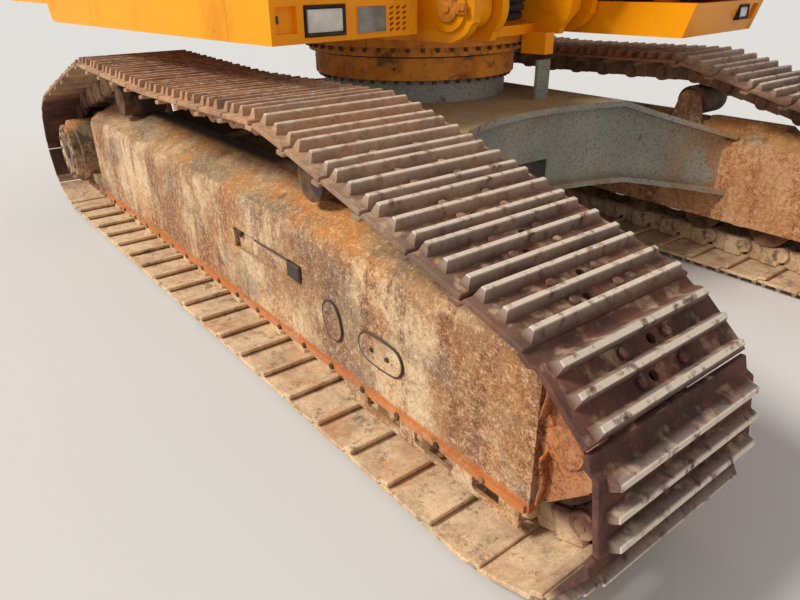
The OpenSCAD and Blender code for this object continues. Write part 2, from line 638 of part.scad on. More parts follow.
module cab_door_glass() color(glass) on_deck() {
    y = cab_y1 - cab_t / 2;
    plate(glass_t, y) polygon([[door_x0 + 90 + seat, 1900 + seat], [door_x0 + 90 + seat, cab_z1 - 230 - seat],
        [cab_x1 - 440 - seat, cab_z1 - 230 - seat], [door_x1 - 80 - seat, 2230], [door_x1 - 80 - seat, 1900 + seat]]);
    plate(glass_t, y) polygon([[door_x0 + 330 + seat, 1690 + seat], [door_x0 + 330 + seat, 1840 - seat],
        [door_x1 - 80 - seat, 1840 - seat], [door_x1 - 80 - seat, 1690 + seat]]);
}

module seat_piece() color(dark) on_deck() translate([150, (cab_y0 + cab_y1) / 2, cab_z0 + cab_t + seat]) {
    block(-150, 250, -180, 180, 0, 330);
    block(-230, 300, -260, 260, 330, 470);
    plate(480) polygon([[-230, 440], [-330, 1080], [-230, 1100], [-90, 460]]);
    plate(260) polygon([[-335, 1085], [-360, 1290], [-280, 1290], [-235, 1095]]);
}

module consoles() color(dark) on_deck() translate([150, (cab_y0 + cab_y1) / 2, cab_z0 + cab_t + seat]) {
    for (s = [-1, 1]) {
        block(-200, 380, s * 310 - 38, s * 310 + 38, 0, 560);
        tube_z(559, 720, 14, 320, s * 310);
        translate([320, s * 310, 725]) sphere(r = 28);
    }
    // Pedals with travel levers
    for (s = [-1, 1]) translate([640, s * 90, 0]) {
        block(-60, 120, -50, 50, 0, 60);
        tube_z(50, 620, 12, 40, 0);
        tube_z(560, 660, 20, 40, 0);
    }
    // Screen on the right post
    block(760, 790, -360, -180, 700, 900);
    tube_z(0, 720, 15, 775, -270);
}

module fuel_tank() color(yellow) on_deck() {
    plate(half_w + tank_y, (tank_y - half_w) / 2) polygon([[sill_seam_x + 4, sill_top_z + seat], [sill_seam_x + 4, 2290],
        [sill_seam_x + 50, 2340], [tank_x1 - 50, 2340], [tank_x1, 2290], [tank_x1, sill_top_z + seat]]);
    tube_z(2339, 2400, 75, -700, -1150);
    tube_z(2399, 2430, 90, -700, -1150);
}

module step_box() color(yellow) on_deck() {
    plate(half_w - 780, -(half_w + 780) / 2) polygon([[tank_x1 + 4, sill_top_z + seat], [tank_x1 + 4, 1960],
        [lamp_box_x - 180, 1960], [lamp_box_x - 20, sill_top_z + seat]]);
    // Steps up the front
    for (z = [1720, 1850]) block(lamp_box_x - 130, lamp_box_x + 60 - (z - 1700) * 0.4, -half_w + 80, -half_w + 420, z, z + 25);
}

module engine() color(dark) on_deck() block(engine_x0, engine_x1, -600, 600, engine_z0, engine_z1);

// Knuckles of a side door's hinge from z0 to z1, with a leaf that reaches dx along X
module knuckle(x, y, z0, z1, dx) {
    s = y > 0 ? 1 : -1;
    tube_z(z0, z1, hinge_r, x, y);
    block(min(x, x + dx), max(x, x + dx), s > 0 ? half_w - 1 : -half_w - hinge_leaf_t, s > 0 ? half_w + hinge_leaf_t : 1 - half_w, z0, z1);
}

// What the inner walls leave free: the sills beside them and the bevels of the hood above
module wall_trims() for (s = [-1, 1]) {
    block(-3000, 0, s * 1700 - 310 + (s > 0 ? -seat : seat + 0), s * 1700 + 310, 1000, sill_top_z + seat);
    block(-3000, 0, s * 1640 - 310, s * 1640 + 310, wall_z1 - 22, wall_z1 + 100);
}

module machine_walls() color(yellow) on_deck() {
    t = cover_t;
    z0 = wing_z1 + seat;
    difference() {
        union() {
            // Front wall behind the cab, wall behind the tank and inner wall of the left bay, with the panels' open seam
            block(machine_x1 - t, machine_x1, bracket_y + 60, wall_y, z0, wall_z1);
            block(sill_seam_x - t, sill_seam_x, -wall_y, -bracket_y - 60, z0, wall_z1);
            block(sill_seam_x - t, machine_x1 - t - panel_seam, bracket_y + 60, bracket_y + 60 + t, z0, wall_z1);
        }
        // Openings for air at the front wall
        for (z = [1900 : 60 : 2300]) block(machine_x1 - t - 1, machine_x1 + 1, 560, 1200, z, z + 30);
        wall_trims();
    }
    // Wall ahead of the counterweight, open where the main plates pass
    difference() {
        block(rear_wall_x, rear_wall_x + t, -wall_y, wall_y, tail_floor_z + seat, wall_z1);
        block(rear_wall_x - 1, rear_wall_x + t + 1, -bracket_y - 70, bracket_y + 70, 1400, 1662);
        wall_trims();
    }
    // Door posts with the fixed halves of the hinges
    for (d = door_table) {
        s = d[2];
        y = s > 0 ? [wall_y - 80, half_w] : [-half_w, 80 - wall_y];
        low = d[0] < sill_x0 ? tail_floor_z + seat : z0;
        difference() {
            block(d[0] - 33, d[0] - 3, s > 0 ? wall_y - 80 : -wall_y, s > 0 ? wall_y : 80 - wall_y, low, wall_z1);
            wall_trims();
        }
        block(d[0] - 33, d[0] - 3, y[0], y[1], door_low_z, door_top_z);
        for (z = hinge_zs, e = [[z - 40, z - seat], [z + 90 + seat, z + 130]])
            knuckle(d[0], s * hinge_y, e[0], e[1], -30);
    }
}

// Fixed covers: over the bay behind the cab, and over the valves between the main plates
module top_covers() color(yellow) on_deck() {
    t = cover_t;
    difference() {
        rotate([90, 0, 90]) translate([0, 0, sill_seam_x + 6]) linear_extrude(machine_x1 - sill_seam_x - 6)
            polygon([[bracket_y + 60, wall_z1 + seat], [bracket_y + 60, hood_z], [half_w - 90, hood_z],
                     [half_w, hood_z - 60], [half_w, hood_z - 180], [half_w - t, hood_z - 180],
                     [half_w - t, hood_z - 60], [half_w - 105, wall_z1 + seat]]);
        for (x = [-1150 : 70 : -750]) block(x, x + 30, 500, 1100, wall_z1 - 1, hood_z + 1);
    }
    // Centre cover, low between the main plates and stepped down towards the boom's foot
    plate(2 * foot_y - 2 * seat) polygon([[-1290, 1700], [-1290, 2250], [-760, 2250], [-560, 1940], [-300, 1900], [-300, 1875],
        [-575, 1915], [-775, 2225], [-1265, 2225], [-1265, 1700]]);
}

// Hood over the engine, hinged at its rear edge
module hood() color(yellow) on_deck() {
    t = cover_t;
    difference() {
        rotate([90, 0, 90]) translate([0, 0, rear_wall_x]) linear_extrude(sill_seam_x - rear_wall_x)
            polygon([[-half_w, hood_z - 180], [-half_w, hood_z - 60], [-half_w + 90, hood_z], [half_w - 90, hood_z],
                     [half_w, hood_z - 60], [half_w, hood_z - 180], [half_w - t, hood_z - 180], [half_w - t, hood_z - 60],
                     [half_w - 105, hood_z - t], [-half_w + 105, hood_z - t], [-half_w + t, hood_z - 60],
                     [-half_w + t, hood_z - 180]]);
        for (x = [-2250 : 70 : -1750]) block(x, x + 30, 500, 1100, hood_z - t - 1, hood_z + 1);
        tube_z(hood_z - t - 1, hood_z + 1, 60, -1900, -850);
    }
    for (y = hood_hinge_ys) {
        bar_y(hood_hinge, hinge_r, 80, y);
        block(hood_hinge.x, hood_hinge.x + 60, y - 40, y + 40, hood_z - 1, hood_z + hinge_leaf_t);
    }
}

// Side door with air slots, its row of door_table given
module vent_door(d) {
    t = cover_t;
    s = d[2];
    y0 = s > 0 ? half_w - t : -half_w;
    difference() {
        block(d[0] + 3, d[1], y0, y0 + t, door_low_z, door_top_z);
        for (z = [1800 : 55 : door_top_z - 160]) block(d[0] + 150, d[1] - 150, y0 - 1, y0 + t + 1, z, z + 26);
    }
    for (z = hinge_zs) knuckle(d[0], s * hinge_y, z, z + 90, 60);
}
module door_right() color(yellow) on_deck() vent_door(door_table[0]);
module door_left_rear() color(yellow) on_deck() vent_door(door_table[1]);
module door_left_front() color(yellow) on_deck() vent_door(door_table[2]);

module counterweight() color(yellow) on_deck() {
    corner = 700;
    cy = half_w - 20 - corner;
    cx = sqrt(pow(tail_r - corner, 2) - pow(cy, 2));
    difference() {
        intersection() {
            translate([0, 0, tail_z0]) linear_extrude(hood_z - tail_z0 - 20) intersection() {
                circle(r = tail_r, $fn = 180);
                union() {
                    translate([-tail_x - 2000, -cy]) square([2000, 2 * cy]);
                    translate([-cx, -half_w + 20]) square([cx - tail_x, 2 * half_w - 40]);
                    for (s = [-1, 1]) translate([-cx, s * cy]) circle(r = corner);
                }
                translate([-tail_x - 2000, -2000]) square([2000, 4000]);
            }
            plate(4000) polygon([[-tail_x, tail_z0], [-tail_x, hood_z - 20], [-3150, hood_z - 20], [-3420, 2420],
                [-tail_r - 10, 1800], [-tail_r - 10, 1640], [-3250, tail_z0]]);
        }
        for (s = [-1, 1]) translate([-2850, s * 700, hood_z - 220]) cylinder(h = 300, r = 40);
    }
    // Beams that carry it on the frame
    for (s = [-1, 1]) block(-tail_x - 1, frame_tail_x - seat, s * bracket_y - 60, s * bracket_y + 60, tail_z0, 1600);
    // Fixed halves of the hood's hinges
    for (y = hood_hinge_ys, s = [-1, 1]) {
        bar_y(hood_hinge, hinge_r, 30 - seat, y + s * (55 + seat / 2));
        block(hood_hinge.x - 60, hood_hinge.x - 5, y + s * 55 - 15 + seat, y + s * 55 + 15 - seat, hood_z - 21, hood_z + hinge_r);
    }
}

module exhaust() color(dark) on_deck() difference() {
    union() {
        tube_z(hood_z + seat, hood_z + 16, 110, -1900, -850);
        tube_z(hood_z + 15, 3000, 70, -1900, -850);
    }
    tube_z(hood_z, 3001, 60, -1900, -850);
}

// Bent tube through the points; ends are cut flat
module rail(points, r = 17) {
    for (i = [0 : len(points) - 2]) {
        d = points[i + 1] - points[i];
        translate(points[i]) rotate([0, acos(d.z / norm(d)), atan2(d.y, d.x)]) cylinder(h = norm(d), r = r);
    }
    for (i = [1 : 1 : len(points) - 2]) translate(points[i]) sphere(r = r + 1, $fn = 32);
}

module handrails() color(dark) on_deck() {
    y = -half_w + 40;
    tank_top = 2340 + seat;
    box_top = 1960 + seat;
    rail([[sill_seam_x + 60, y, tank_top], [sill_seam_x + 60, y, 2900], [tank_x1 - 60, y, 2900], [tank_x1 - 60, y, tank_top]]);
    rail([[-800, y, tank_top], [-800, y, 2900]], 15);
    rail([[tank_x1 + 60, y, box_top], [tank_x1 + 60, y, 2560], [lamp_box_x - 230, y, 2500], [lamp_box_x - 230, y, box_top]]);
}

module mirrors() color(dark) on_deck() {
    x = lamp_box_x - 230;
    rail([[x, -half_w + 140, 1960 + seat], [x, -half_w + 140, 2650]], 12);
    block(x - 15, x + 15, -half_w + 60, -half_w + 240, 2440, 2760);
}

// Arm
// Centre line of the boom, from foot to head, and its half depth
boom_bend = [2700, 2100];
function boom_mid(t) = 2 * t * (1 - t) * boom_bend + t * t * [boom_l, 0];
function boom_dir(t) = let (d = 2 * (1 - t) * boom_bend + 2 * t * ([boom_l, 0] - boom_bend)) d / norm(d);
function boom_half(t) = lookup(t, [[0, 170], [0.12, 230], [0.42, 420], [0.6, 380], [1, 190]]);
function boom_edge(t, s) = let (d = boom_dir(t)) boom_mid(t) + s * boom_half(t) * [-d.y, d.x];
boom_steps = 16;

head_slot_r = 480;
module boom() color(yellow) on_boom() {
    top = [for (i = [0 : boom_steps]) boom_edge(i / boom_steps, 1)];
    low = [for (i = [boom_steps : -1 : 0]) boom_edge(i / boom_steps, -1)];
    foot = stick_ram_foot;
    difference() {
        union() {
            plate(boom_w) polygon(concat(top, low));
            bar_y([0, 0], 175, 2 * foot_y - 2 * gap);
            bar_y([boom_l, 0], 190, boom_w);
            bar_y(boom_ram_pin, 150, 2 * (boom_cyl_y - 55 - gap));
            // Ears of the stick cylinder on the back of the boom
            for (s = [-1, 1]) plate(45, s * 92) polygon([[foot.x - 560, 1300], [foot.x - 110, foot.y + 50],
                [foot.x + 115, foot.y - 40], [foot.x + 260, 1300]]);
            for (s = [-1, 1]) bar_y(foot, 120, 45, s * 92);
        }
        bar_y([0, 0], 55 + seat, 2 * foot_y);
        bar_y([boom_l, 0], head_slot_r, stick_w - 40);
        bar_y([boom_l, 0], 60 + seat, boom_w + 2);
    }
    bar_y(foot, 50, 230);
}

// Cylinder barrel along X: l long from its foot pin, wider than its foot, which a neck joins to it
module barrel(l, d, rod_d, foot_r, foot_w, pin_r) {
    neck = foot_r + 85;
    difference() {
        union() {
            tube_x(0, neck + 1, foot_w / 2 - 1, 0, 0);
            tube_x(neck, l, d / 2, 0, 0);
            tube_x(l - 140, l, d / 2 + 14, 0, 0);
            bar_y([0, 0], foot_r, foot_w);
        }
        tube_x(neck + 60, l + 1, rod_d / 2 + 2 * seat, 0, 0);
        bar_y([0, 0], pin_r + seat, foot_w + 2);
    }
}
module rod(len_pins, l, d, eye_r, eye_w) {
    tube_x(len_pins - l, len_pins - eye_r * 0.6, d / 2, 0, 0);
    bar_y([len_pins, 0], eye_r, eye_w);
}
module at_ram(foot, vec) translate([foot.x, 0, foot.y]) rotate([0, -bearing(vec), 0]) children();

module boom_barrels() color(yellow) on_deck() for (s = [-1, 1]) translate([0, s * boom_cyl_y, 0])
    at_ram(ram_foot, boom_ram_vec) barrel(1960, boom_barrel_d, boom_rod_d, 98, 110, 50);
module boom_rods() color(chrome) on_deck() for (s = [-1, 1]) translate([0, s * boom_cyl_y, 0])
    at_ram(ram_foot, boom_ram_vec) rod(norm(boom_ram_vec), 1800, boom_rod_d, 100, 110);
module stick_barrel() color(yellow) on_boom()
    at_ram(stick_ram_foot, stick_ram_vec) barrel(2540, stick_barrel_d, stick_rod_d, 120, 126, 50);
module stick_rod() color(chrome) on_boom()
    at_ram(stick_ram_foot, stick_ram_vec) rod(norm(stick_ram_vec), 2250, stick_rod_d, 110, 120);
module bucket_barrel() color(yellow) on_stick()
    at_ram(bucket_ram_foot, bucket_ram_vec) barrel(1750, bucket_barrel_d, bucket_rod_d, 105, 116, 45);
module bucket_rod() color(chrome) on_stick()
    at_ram(bucket_ram_foot, bucket_ram_vec) rod(norm(bucket_ram_vec), 1480, bucket_rod_d, 90, 110);

module stick() color(yellow) on_stick() {
    difference() {
        union() {
            plate(stick_w - 60) polygon([[-250, 120], [-300, 330], [120, 450], [900, 380], [2300, 165], [2700, 115],
                [stick_l, 100], [stick_l, -100], [2500, -160], [900, -285], [420, -245], [100, -235],
                [-100, -230], [-240, -140]]);
            // Ears of the stick cylinder
            for (s = [-1, 1]) plate(45, s * 92) polygon([[-240, 215], [stick_ram_pin.x - 30, stick_ram_pin.y - 120],
                [stick_ram_pin.x - 120, stick_ram_pin.y + 30], [stick_ram_pin.x + 30, stick_ram_pin.y + 120], [-250, 430],
                [100, 440]]);
            for (s = [-1, 1]) bar_y(stick_ram_pin, 125, 45, s * 92);
            // Ears of the bucket cylinder
            for (s = [-1, 1]) plate(45, s * 87) polygon([[-160, 360], [bucket_ram_foot.x - 90, bucket_ram_foot.y + 60],
                [bucket_ram_foot.x + 70, bucket_ram_foot.y + 80], [bucket_ram_foot.x + 105, bucket_ram_foot.y - 20], [340, 400]]);
            for (s = [-1, 1]) bar_y(bucket_ram_foot, 110, 45, s * 87);
            bar_y([0, 0], 250, stick_w - 60);
            bar_y([stick_l, 0], 105, 330);
            bar_y(rocker_pin, 110, stick_w - 60);
        }
        bar_y([stick_l, 0], 50 + seat, 600);
        bar_y(bucket_ram_foot, 125, 124);
    }
    bar_y(bucket_ram_foot, 45, 215);
    bar_y([0, 0], 60, boom_w + 60);
    bar_y(rocker_pin, 50, 2 * rocker_y + 80);
}

rocker_y = 242;
rocker_t = 40;
link_y = 105;
link_t = 60;
ear_bucket_y = 195;
module rocker() color(yellow) on_stick() for (s = [-1, 1]) translate([rocker_pin.x, s * rocker_y, rocker_pin.y])
    rotate([0, -rocker_a, 0]) {
        difference() {
            union() {
                plate(rocker_t) polygon([[0, -100], [0, 100], [rocker_l, 88], [rocker_l, -88]]);
                bar_y([0, 0], 105, rocker_t);
                bar_y([rocker_l, 0], 92, rocker_t);
            }
            bar_y([0, 0], 50 + seat, rocker_t + 2);
        }
        // Stub towards the link
        stub = rocker_y - link_y - link_t / 2 - gap;
        bar_y([rocker_l, 0], 62, stub, -s * stub / 2);
    }

link_vec = link_high - link_low;
module bucket_link() color(yellow) on_stick() translate([link_low.x, 0, link_low.y]) rotate([0, -bearing(link_vec), 0])
    difference() {
        union() {
            for (s = [-1, 1]) plate(link_t, s * link_y)
                polygon([[0, -88], [0, 88], [180, 58], [link_l - 180, 58], [link_l, 82], [link_l, -82], [link_l - 180, -58], [180, -58]]);
            for (s = [-1, 1], e = [[0, 95], [link_l, 88]]) bar_y([e[0], 0], e[1], link_t, s * link_y);
            plate(2 * link_y - link_t + 10) polygon([[150, -50], [150, 50], [link_l - 220, 50], [link_l - 220, -50]]);
        }
        bar_y([0, 0], 45 + seat, 2 * link_y + 2 * link_t);
    }

// Bucket: side plates and a bent shell, X from the bucket pin towards the teeth
bucket_shell = [[330, -130], [300, 250], [430, 570], [650, 760], [930, 800], [1180, 690], [1349, 449], [1599, -80]];
bucket_inner = [[370, -130], [340, 240], [465, 540], [670, 722], [920, 760], [1155, 660], [1312, 430], [1558, -80]];
module bucket() color(rust) on_bucket() {
    plate(bucket_w) polygon(concat(bucket_shell, [for (i = [len(bucket_inner) - 1 : -1 : 0]) bucket_inner[i]]));
    for (s = [-1, 1]) plate(30, s * (bucket_w / 2 - 15)) polygon(concat(bucket_shell, [[1500, -130], [900, -110], [420, -165]]));
    // Ears with the bucket pin and the link pin
    for (s = [-1, 1]) plate(40, s * ear_bucket_y) polygon([[-45, -125], [-130, -20], [-220, 440], [-180, 530], [-80, 560],
        [425, 565], [305, 250], [332, -120], [120, -140]]);
    bar_y([0, 0], 50, 2 * ear_bucket_y + 50);
    bar_y(bucket_link_pin, 45, 2 * ear_bucket_y + 50);
    // Lip and teeth
    plate(bucket_w) polygon([[1530, -60], [1599, -80], [1638, -172], [1610, -175]]);
    for (i = [0 : tooth_count - 1]) plate(110, (bucket_w - 160) * (i / (tooth_count - 1) - 0.5))
        polygon([[1500, -20], [1599, -80], [1650, -200], [1712, -355], [1698, -365], [1600, -230], [1505, -90]]);
}

// Plates that hold the idler at the frame's front end, with a round cover
module idler_yoke() for (s = [-1, 1]) {
    translate([frame_x1, 0, 0]) plate(40, s * 155) polygon([[seat, 262], [seat, 700], [15, 694], [61, 663], [131, 609],
        [180, 560], [196, 512], [200, 461], [186, 425], [163, 392], [42, 278]]);
    bar_y([frame_x1 + 83, 500], 62, 12, s * 178);
}

carbody();
color(rust) side(-1) track_frame();  // track_frame_right
color(rust) side(1) track_frame();  // track_frame_left
color(rust) side(-1) track();  // track_right
color(rust) side(1) track();  // track_left
color(rust) for (s = [-1, 1]) side(s) idler();  // idlers
color(rust) for (s = [-1, 1]) side(s) idler_yoke();  // idler_yokes
color(rust) for (s = [-1, 1]) side(s) final_drive();  // final_drives
color(rust) for (s = [-1, 1]) side(s) rollers();  // track_rollers
ring_fixed();
ring_turning();
upper_frame();
side_sills();
lamp_box();
cab_base();
cab();
cab_glass();
cab_door();
cab_door_glass();
seat_piece();  // seat
consoles();
fuel_tank();
step_box();
engine();
machine_walls();
top_covers();
hood();
door_right();
door_left_rear();
door_left_front();
counterweight();
exhaust();
handrails();
mirrors();
boom();
boom_barrels();
boom_rods();
stick_barrel();
stick_rod();
stick();
bucket_barrel();
bucket_rod();
rocker();
bucket_link();
bucket();
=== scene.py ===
"""Looks of a crawler excavator: rusty undercarriage, grimy yellow upper structure and arm.

Metres throughout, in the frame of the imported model: X forward along the arm, Y to the left, Z up.
"""

import json
import math

import bpy
from mathutils import Matrix, Vector

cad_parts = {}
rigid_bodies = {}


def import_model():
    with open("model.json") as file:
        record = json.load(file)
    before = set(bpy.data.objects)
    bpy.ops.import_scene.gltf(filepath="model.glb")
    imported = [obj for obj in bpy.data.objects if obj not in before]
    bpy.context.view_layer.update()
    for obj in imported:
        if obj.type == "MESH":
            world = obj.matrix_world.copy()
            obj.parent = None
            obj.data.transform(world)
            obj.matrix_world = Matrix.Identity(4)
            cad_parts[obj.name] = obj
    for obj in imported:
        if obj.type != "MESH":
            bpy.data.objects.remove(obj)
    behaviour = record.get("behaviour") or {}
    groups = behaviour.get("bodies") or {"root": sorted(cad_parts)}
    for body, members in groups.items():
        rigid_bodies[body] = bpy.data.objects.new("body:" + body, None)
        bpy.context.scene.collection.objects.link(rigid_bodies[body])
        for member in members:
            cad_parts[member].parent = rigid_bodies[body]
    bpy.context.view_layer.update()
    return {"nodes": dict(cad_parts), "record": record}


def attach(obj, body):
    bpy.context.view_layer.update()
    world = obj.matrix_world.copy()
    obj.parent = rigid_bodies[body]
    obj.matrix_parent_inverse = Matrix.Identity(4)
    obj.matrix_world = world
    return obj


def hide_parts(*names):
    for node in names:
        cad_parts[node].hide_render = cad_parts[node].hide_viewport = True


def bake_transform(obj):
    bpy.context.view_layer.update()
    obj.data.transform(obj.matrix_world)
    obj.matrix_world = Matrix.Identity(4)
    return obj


for leftover in list(bpy.data.objects):
    bpy.data.objects.remove(leftover)
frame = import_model()
nodes = frame["nodes"]

# Places and sizes that the model was built from
SLEW_X = -1.93
DECK_X = -1.8
TRACK_FORWARD = 0.13
HEADING = math.radians(6)
TRACK_GAUGE = 2.68
SHOE_W = 0.70
CHAIN_PITCH = 0.221
SHOE_COUNT = 49
LINK_H = 0.100
BAR_H = 0.034
WHEEL_R = 0.320
TRACK_H = 1.204
CARRIER_INSETS = (1.15, 0.96)  # front, rear
TRACK_SAG = 0.030
HALF_W = 1.45
SIDES = ((-1, "right"), (1, "left"))


# Camera, as the photograph was taken
CAMERA_PLACE = (1.074, -3.047, 1.623)
CAMERA_YAW, CAMERA_PITCH, CAMERA_ROLL = (math.radians(turn) for turn in (135.92, 26.29, -0.41))
CAMERA_FOCUS_PX = 659.9
IMAGE_W_PX = 800
SENSOR_W_MM = 36


def make_camera():
    data = bpy.data.cameras.new("camera")
    data.sensor_width = SENSOR_W_MM
    data.lens = CAMERA_FOCUS_PX * SENSOR_W_MM / IMAGE_W_PX
    camera = bpy.data.objects.new("camera", data)
    bpy.context.scene.collection.objects.link(camera)
    camera.matrix_world = (Matrix.Translation(CAMERA_PLACE) @ Matrix.Rotation(CAMERA_YAW - math.pi / 2, 4, "Z")
                           @ Matrix.Rotation(math.pi / 2 - CAMERA_PITCH, 4, "X")
                           @ Matrix.Rotation(CAMERA_ROLL, 4, "Z"))
    bpy.context.scene.camera = camera


# Shader maths
def shade(red, green, blue):
    """A colour as it shows on a screen, 0 to 255, turned into the light values that Blender works in."""
    def light(part):
        part /= 255
        return part / 12.92 if part <= 0.04045 else ((part + 0.055) / 1.055) ** 2.4
    return (light(red), light(green), light(blue), 1.0)


class Value:
    """A number that varies over a surface. Sums and products of it add their Math nodes."""

    def __init__(self, surface, socket):
        self.surface = surface
        self.socket = socket

    def math(self, operation, *values):
        return self.surface.value(0, "ShaderNodeMath", dict(enumerate(values)), operation=operation)

    def __add__(self, other):
        return self.math("ADD", self, other)

    def __sub__(self, other):
        return self.math("SUBTRACT", self, other)

    def __rsub__(self, other):
        return self.math("SUBTRACT", other, self)

    def __mul__(self, other):
        return self.math("MULTIPLY", self, other)

    __radd__ = __add__
    __rmul__ = __mul__

    def step(self, low, high):
        """0 below low, 1 above high and a soft step between; low may be the greater."""
        sockets = {"Value": self, "From Min": low, "From Max": high}
        return self.surface.value(0, "ShaderNodeMapRange", sockets, interpolation_type="SMOOTHSTEP", clamp=True)


class Surface:
    """One material, built from nodes on the piece's own coordinates. Tones are screen colours, 0 to 255; the first
    one covers the piece, and over lays others on it."""

    def __init__(self, name, tone, **sockets):
        self.colour = shade(*tone)
        self.material = bpy.data.materials.new(name)
        self.material.use_nodes = True
        self.tree = self.material.node_tree
        self.tree.nodes.clear()
        self.shader = self.add("ShaderNodeBsdfPrincipled", sockets)
        self.add("ShaderNodeOutputMaterial", {"Surface": self.shader.outputs["BSDF"]})
        self.place = self.add("ShaderNodeTexCoord", {})
        split = self.add("ShaderNodeSeparateXYZ", {0: self.place.outputs["Object"]})
        self.x, self.y, self.z = (Value(self, split.outputs[axis]) for axis in range(3))

    def feed(self, node, socket, value):
        """Links a socket of the node to a value, or sets it where the value is plain."""
        if isinstance(value, Value):
            value = value.socket
        if isinstance(value, bpy.types.NodeSocket):
            self.tree.links.new(value, node.inputs[socket])
        else:
            node.inputs[socket].default_value = value

    def add(self, kind, sockets, **settings):
        node = self.tree.nodes.new(kind)
        for key, value in settings.items():
            setattr(node, key, value)
        for key, value in sockets.items():
            self.feed(node, key, value)
        return node

    def value(self, output, kind, sockets, **settings):
        """Adds a node of which only one output is read."""
        return Value(self, self.add(kind, sockets, **settings).outputs[output])

    def upward(self):
        """1 where the surface faces up, 0 on its sides, -1 underneath."""
        return self.value(2, "ShaderNodeSeparateXYZ", {0: self.place.outputs["Normal"]})

    def on_undercarriage(self):
        """Metres ahead of the tracks' middle, and metres off the undercarriage's centre line to either side."""
        x = self.x - SLEW_X
        ahead = x * math.cos(HEADING) - self.y * math.sin(HEADING) - TRACK_FORWARD
        aside = x * math.sin(HEADING) + self.y * math.cos(HEADING)
        return ahead, aside.math("ABSOLUTE", aside)

    def noise(self, scale, detail=5.0, roughness=0.55, at=(0, 0, 0), stretch=(1, 1, 1)):
        """Cloudy pattern between 0 and 1 with its middle near 0.5; scale is in clouds per metre."""
        place = self.value(0, "ShaderNodeMapping", {"Vector": self.place.outputs["Object"], "Location": at,
                                                    "Scale": stretch})
        return self.value(0, "ShaderNodeTexNoise", {"Vector": place, "Scale": scale, "Detail": detail,
                                                    "Roughness": roughness})

    def blots(self, scale, low, high, *shape, **place):
        """The cloudy pattern cut into blots: 0 where it is below low, 1 where it is above high."""
        return self.noise(scale, *shape, **place).step(low, high)

    def pits(self, scale):
        """Distance to the nearest of scattered points, 0 at a point."""
        return self.value("Distance", "ShaderNodeTexVoronoi", {"Vector": self.place.outputs["Object"], "Scale": scale})

    def carried(self, attribute):
        """A value that the mesh carries at its points."""
        return self.value("Fac", "ShaderNodeAttribute", {}, attribute_name=attribute)

    def mix(self, share, first, second):
        """first where share is 0, second where it is 1; both are colours."""
        return self.add("ShaderNodeMix", {0: share, 6: first, 7: second}, data_type="RGBA").outputs[2]

    def over(self, share, tone):
        """Lays a tone, or what mix gave, over the colour so far, wholly where share is 1."""
        self.colour = self.mix(share, self.colour, shade(*tone) if isinstance(tone, tuple) else tone)

    def finish(self, roughness, metallic=0.0, relief=None, depth=0.002):
        """Joins colour, roughness, metallic and the height of a relief, depth metres deep, to the shader."""
        for key, value in (("Base Color", self.colour), ("Roughness", roughness), ("Metallic", metallic)):
            self.feed(self.shader, key, value)
        if relief is not None:
            bump = self.value(0, "ShaderNodeBump", {"Height": relief, "Distance": depth, "Strength": 0.9})
            self.feed(self.shader, "Normal", bump)
        return self.material


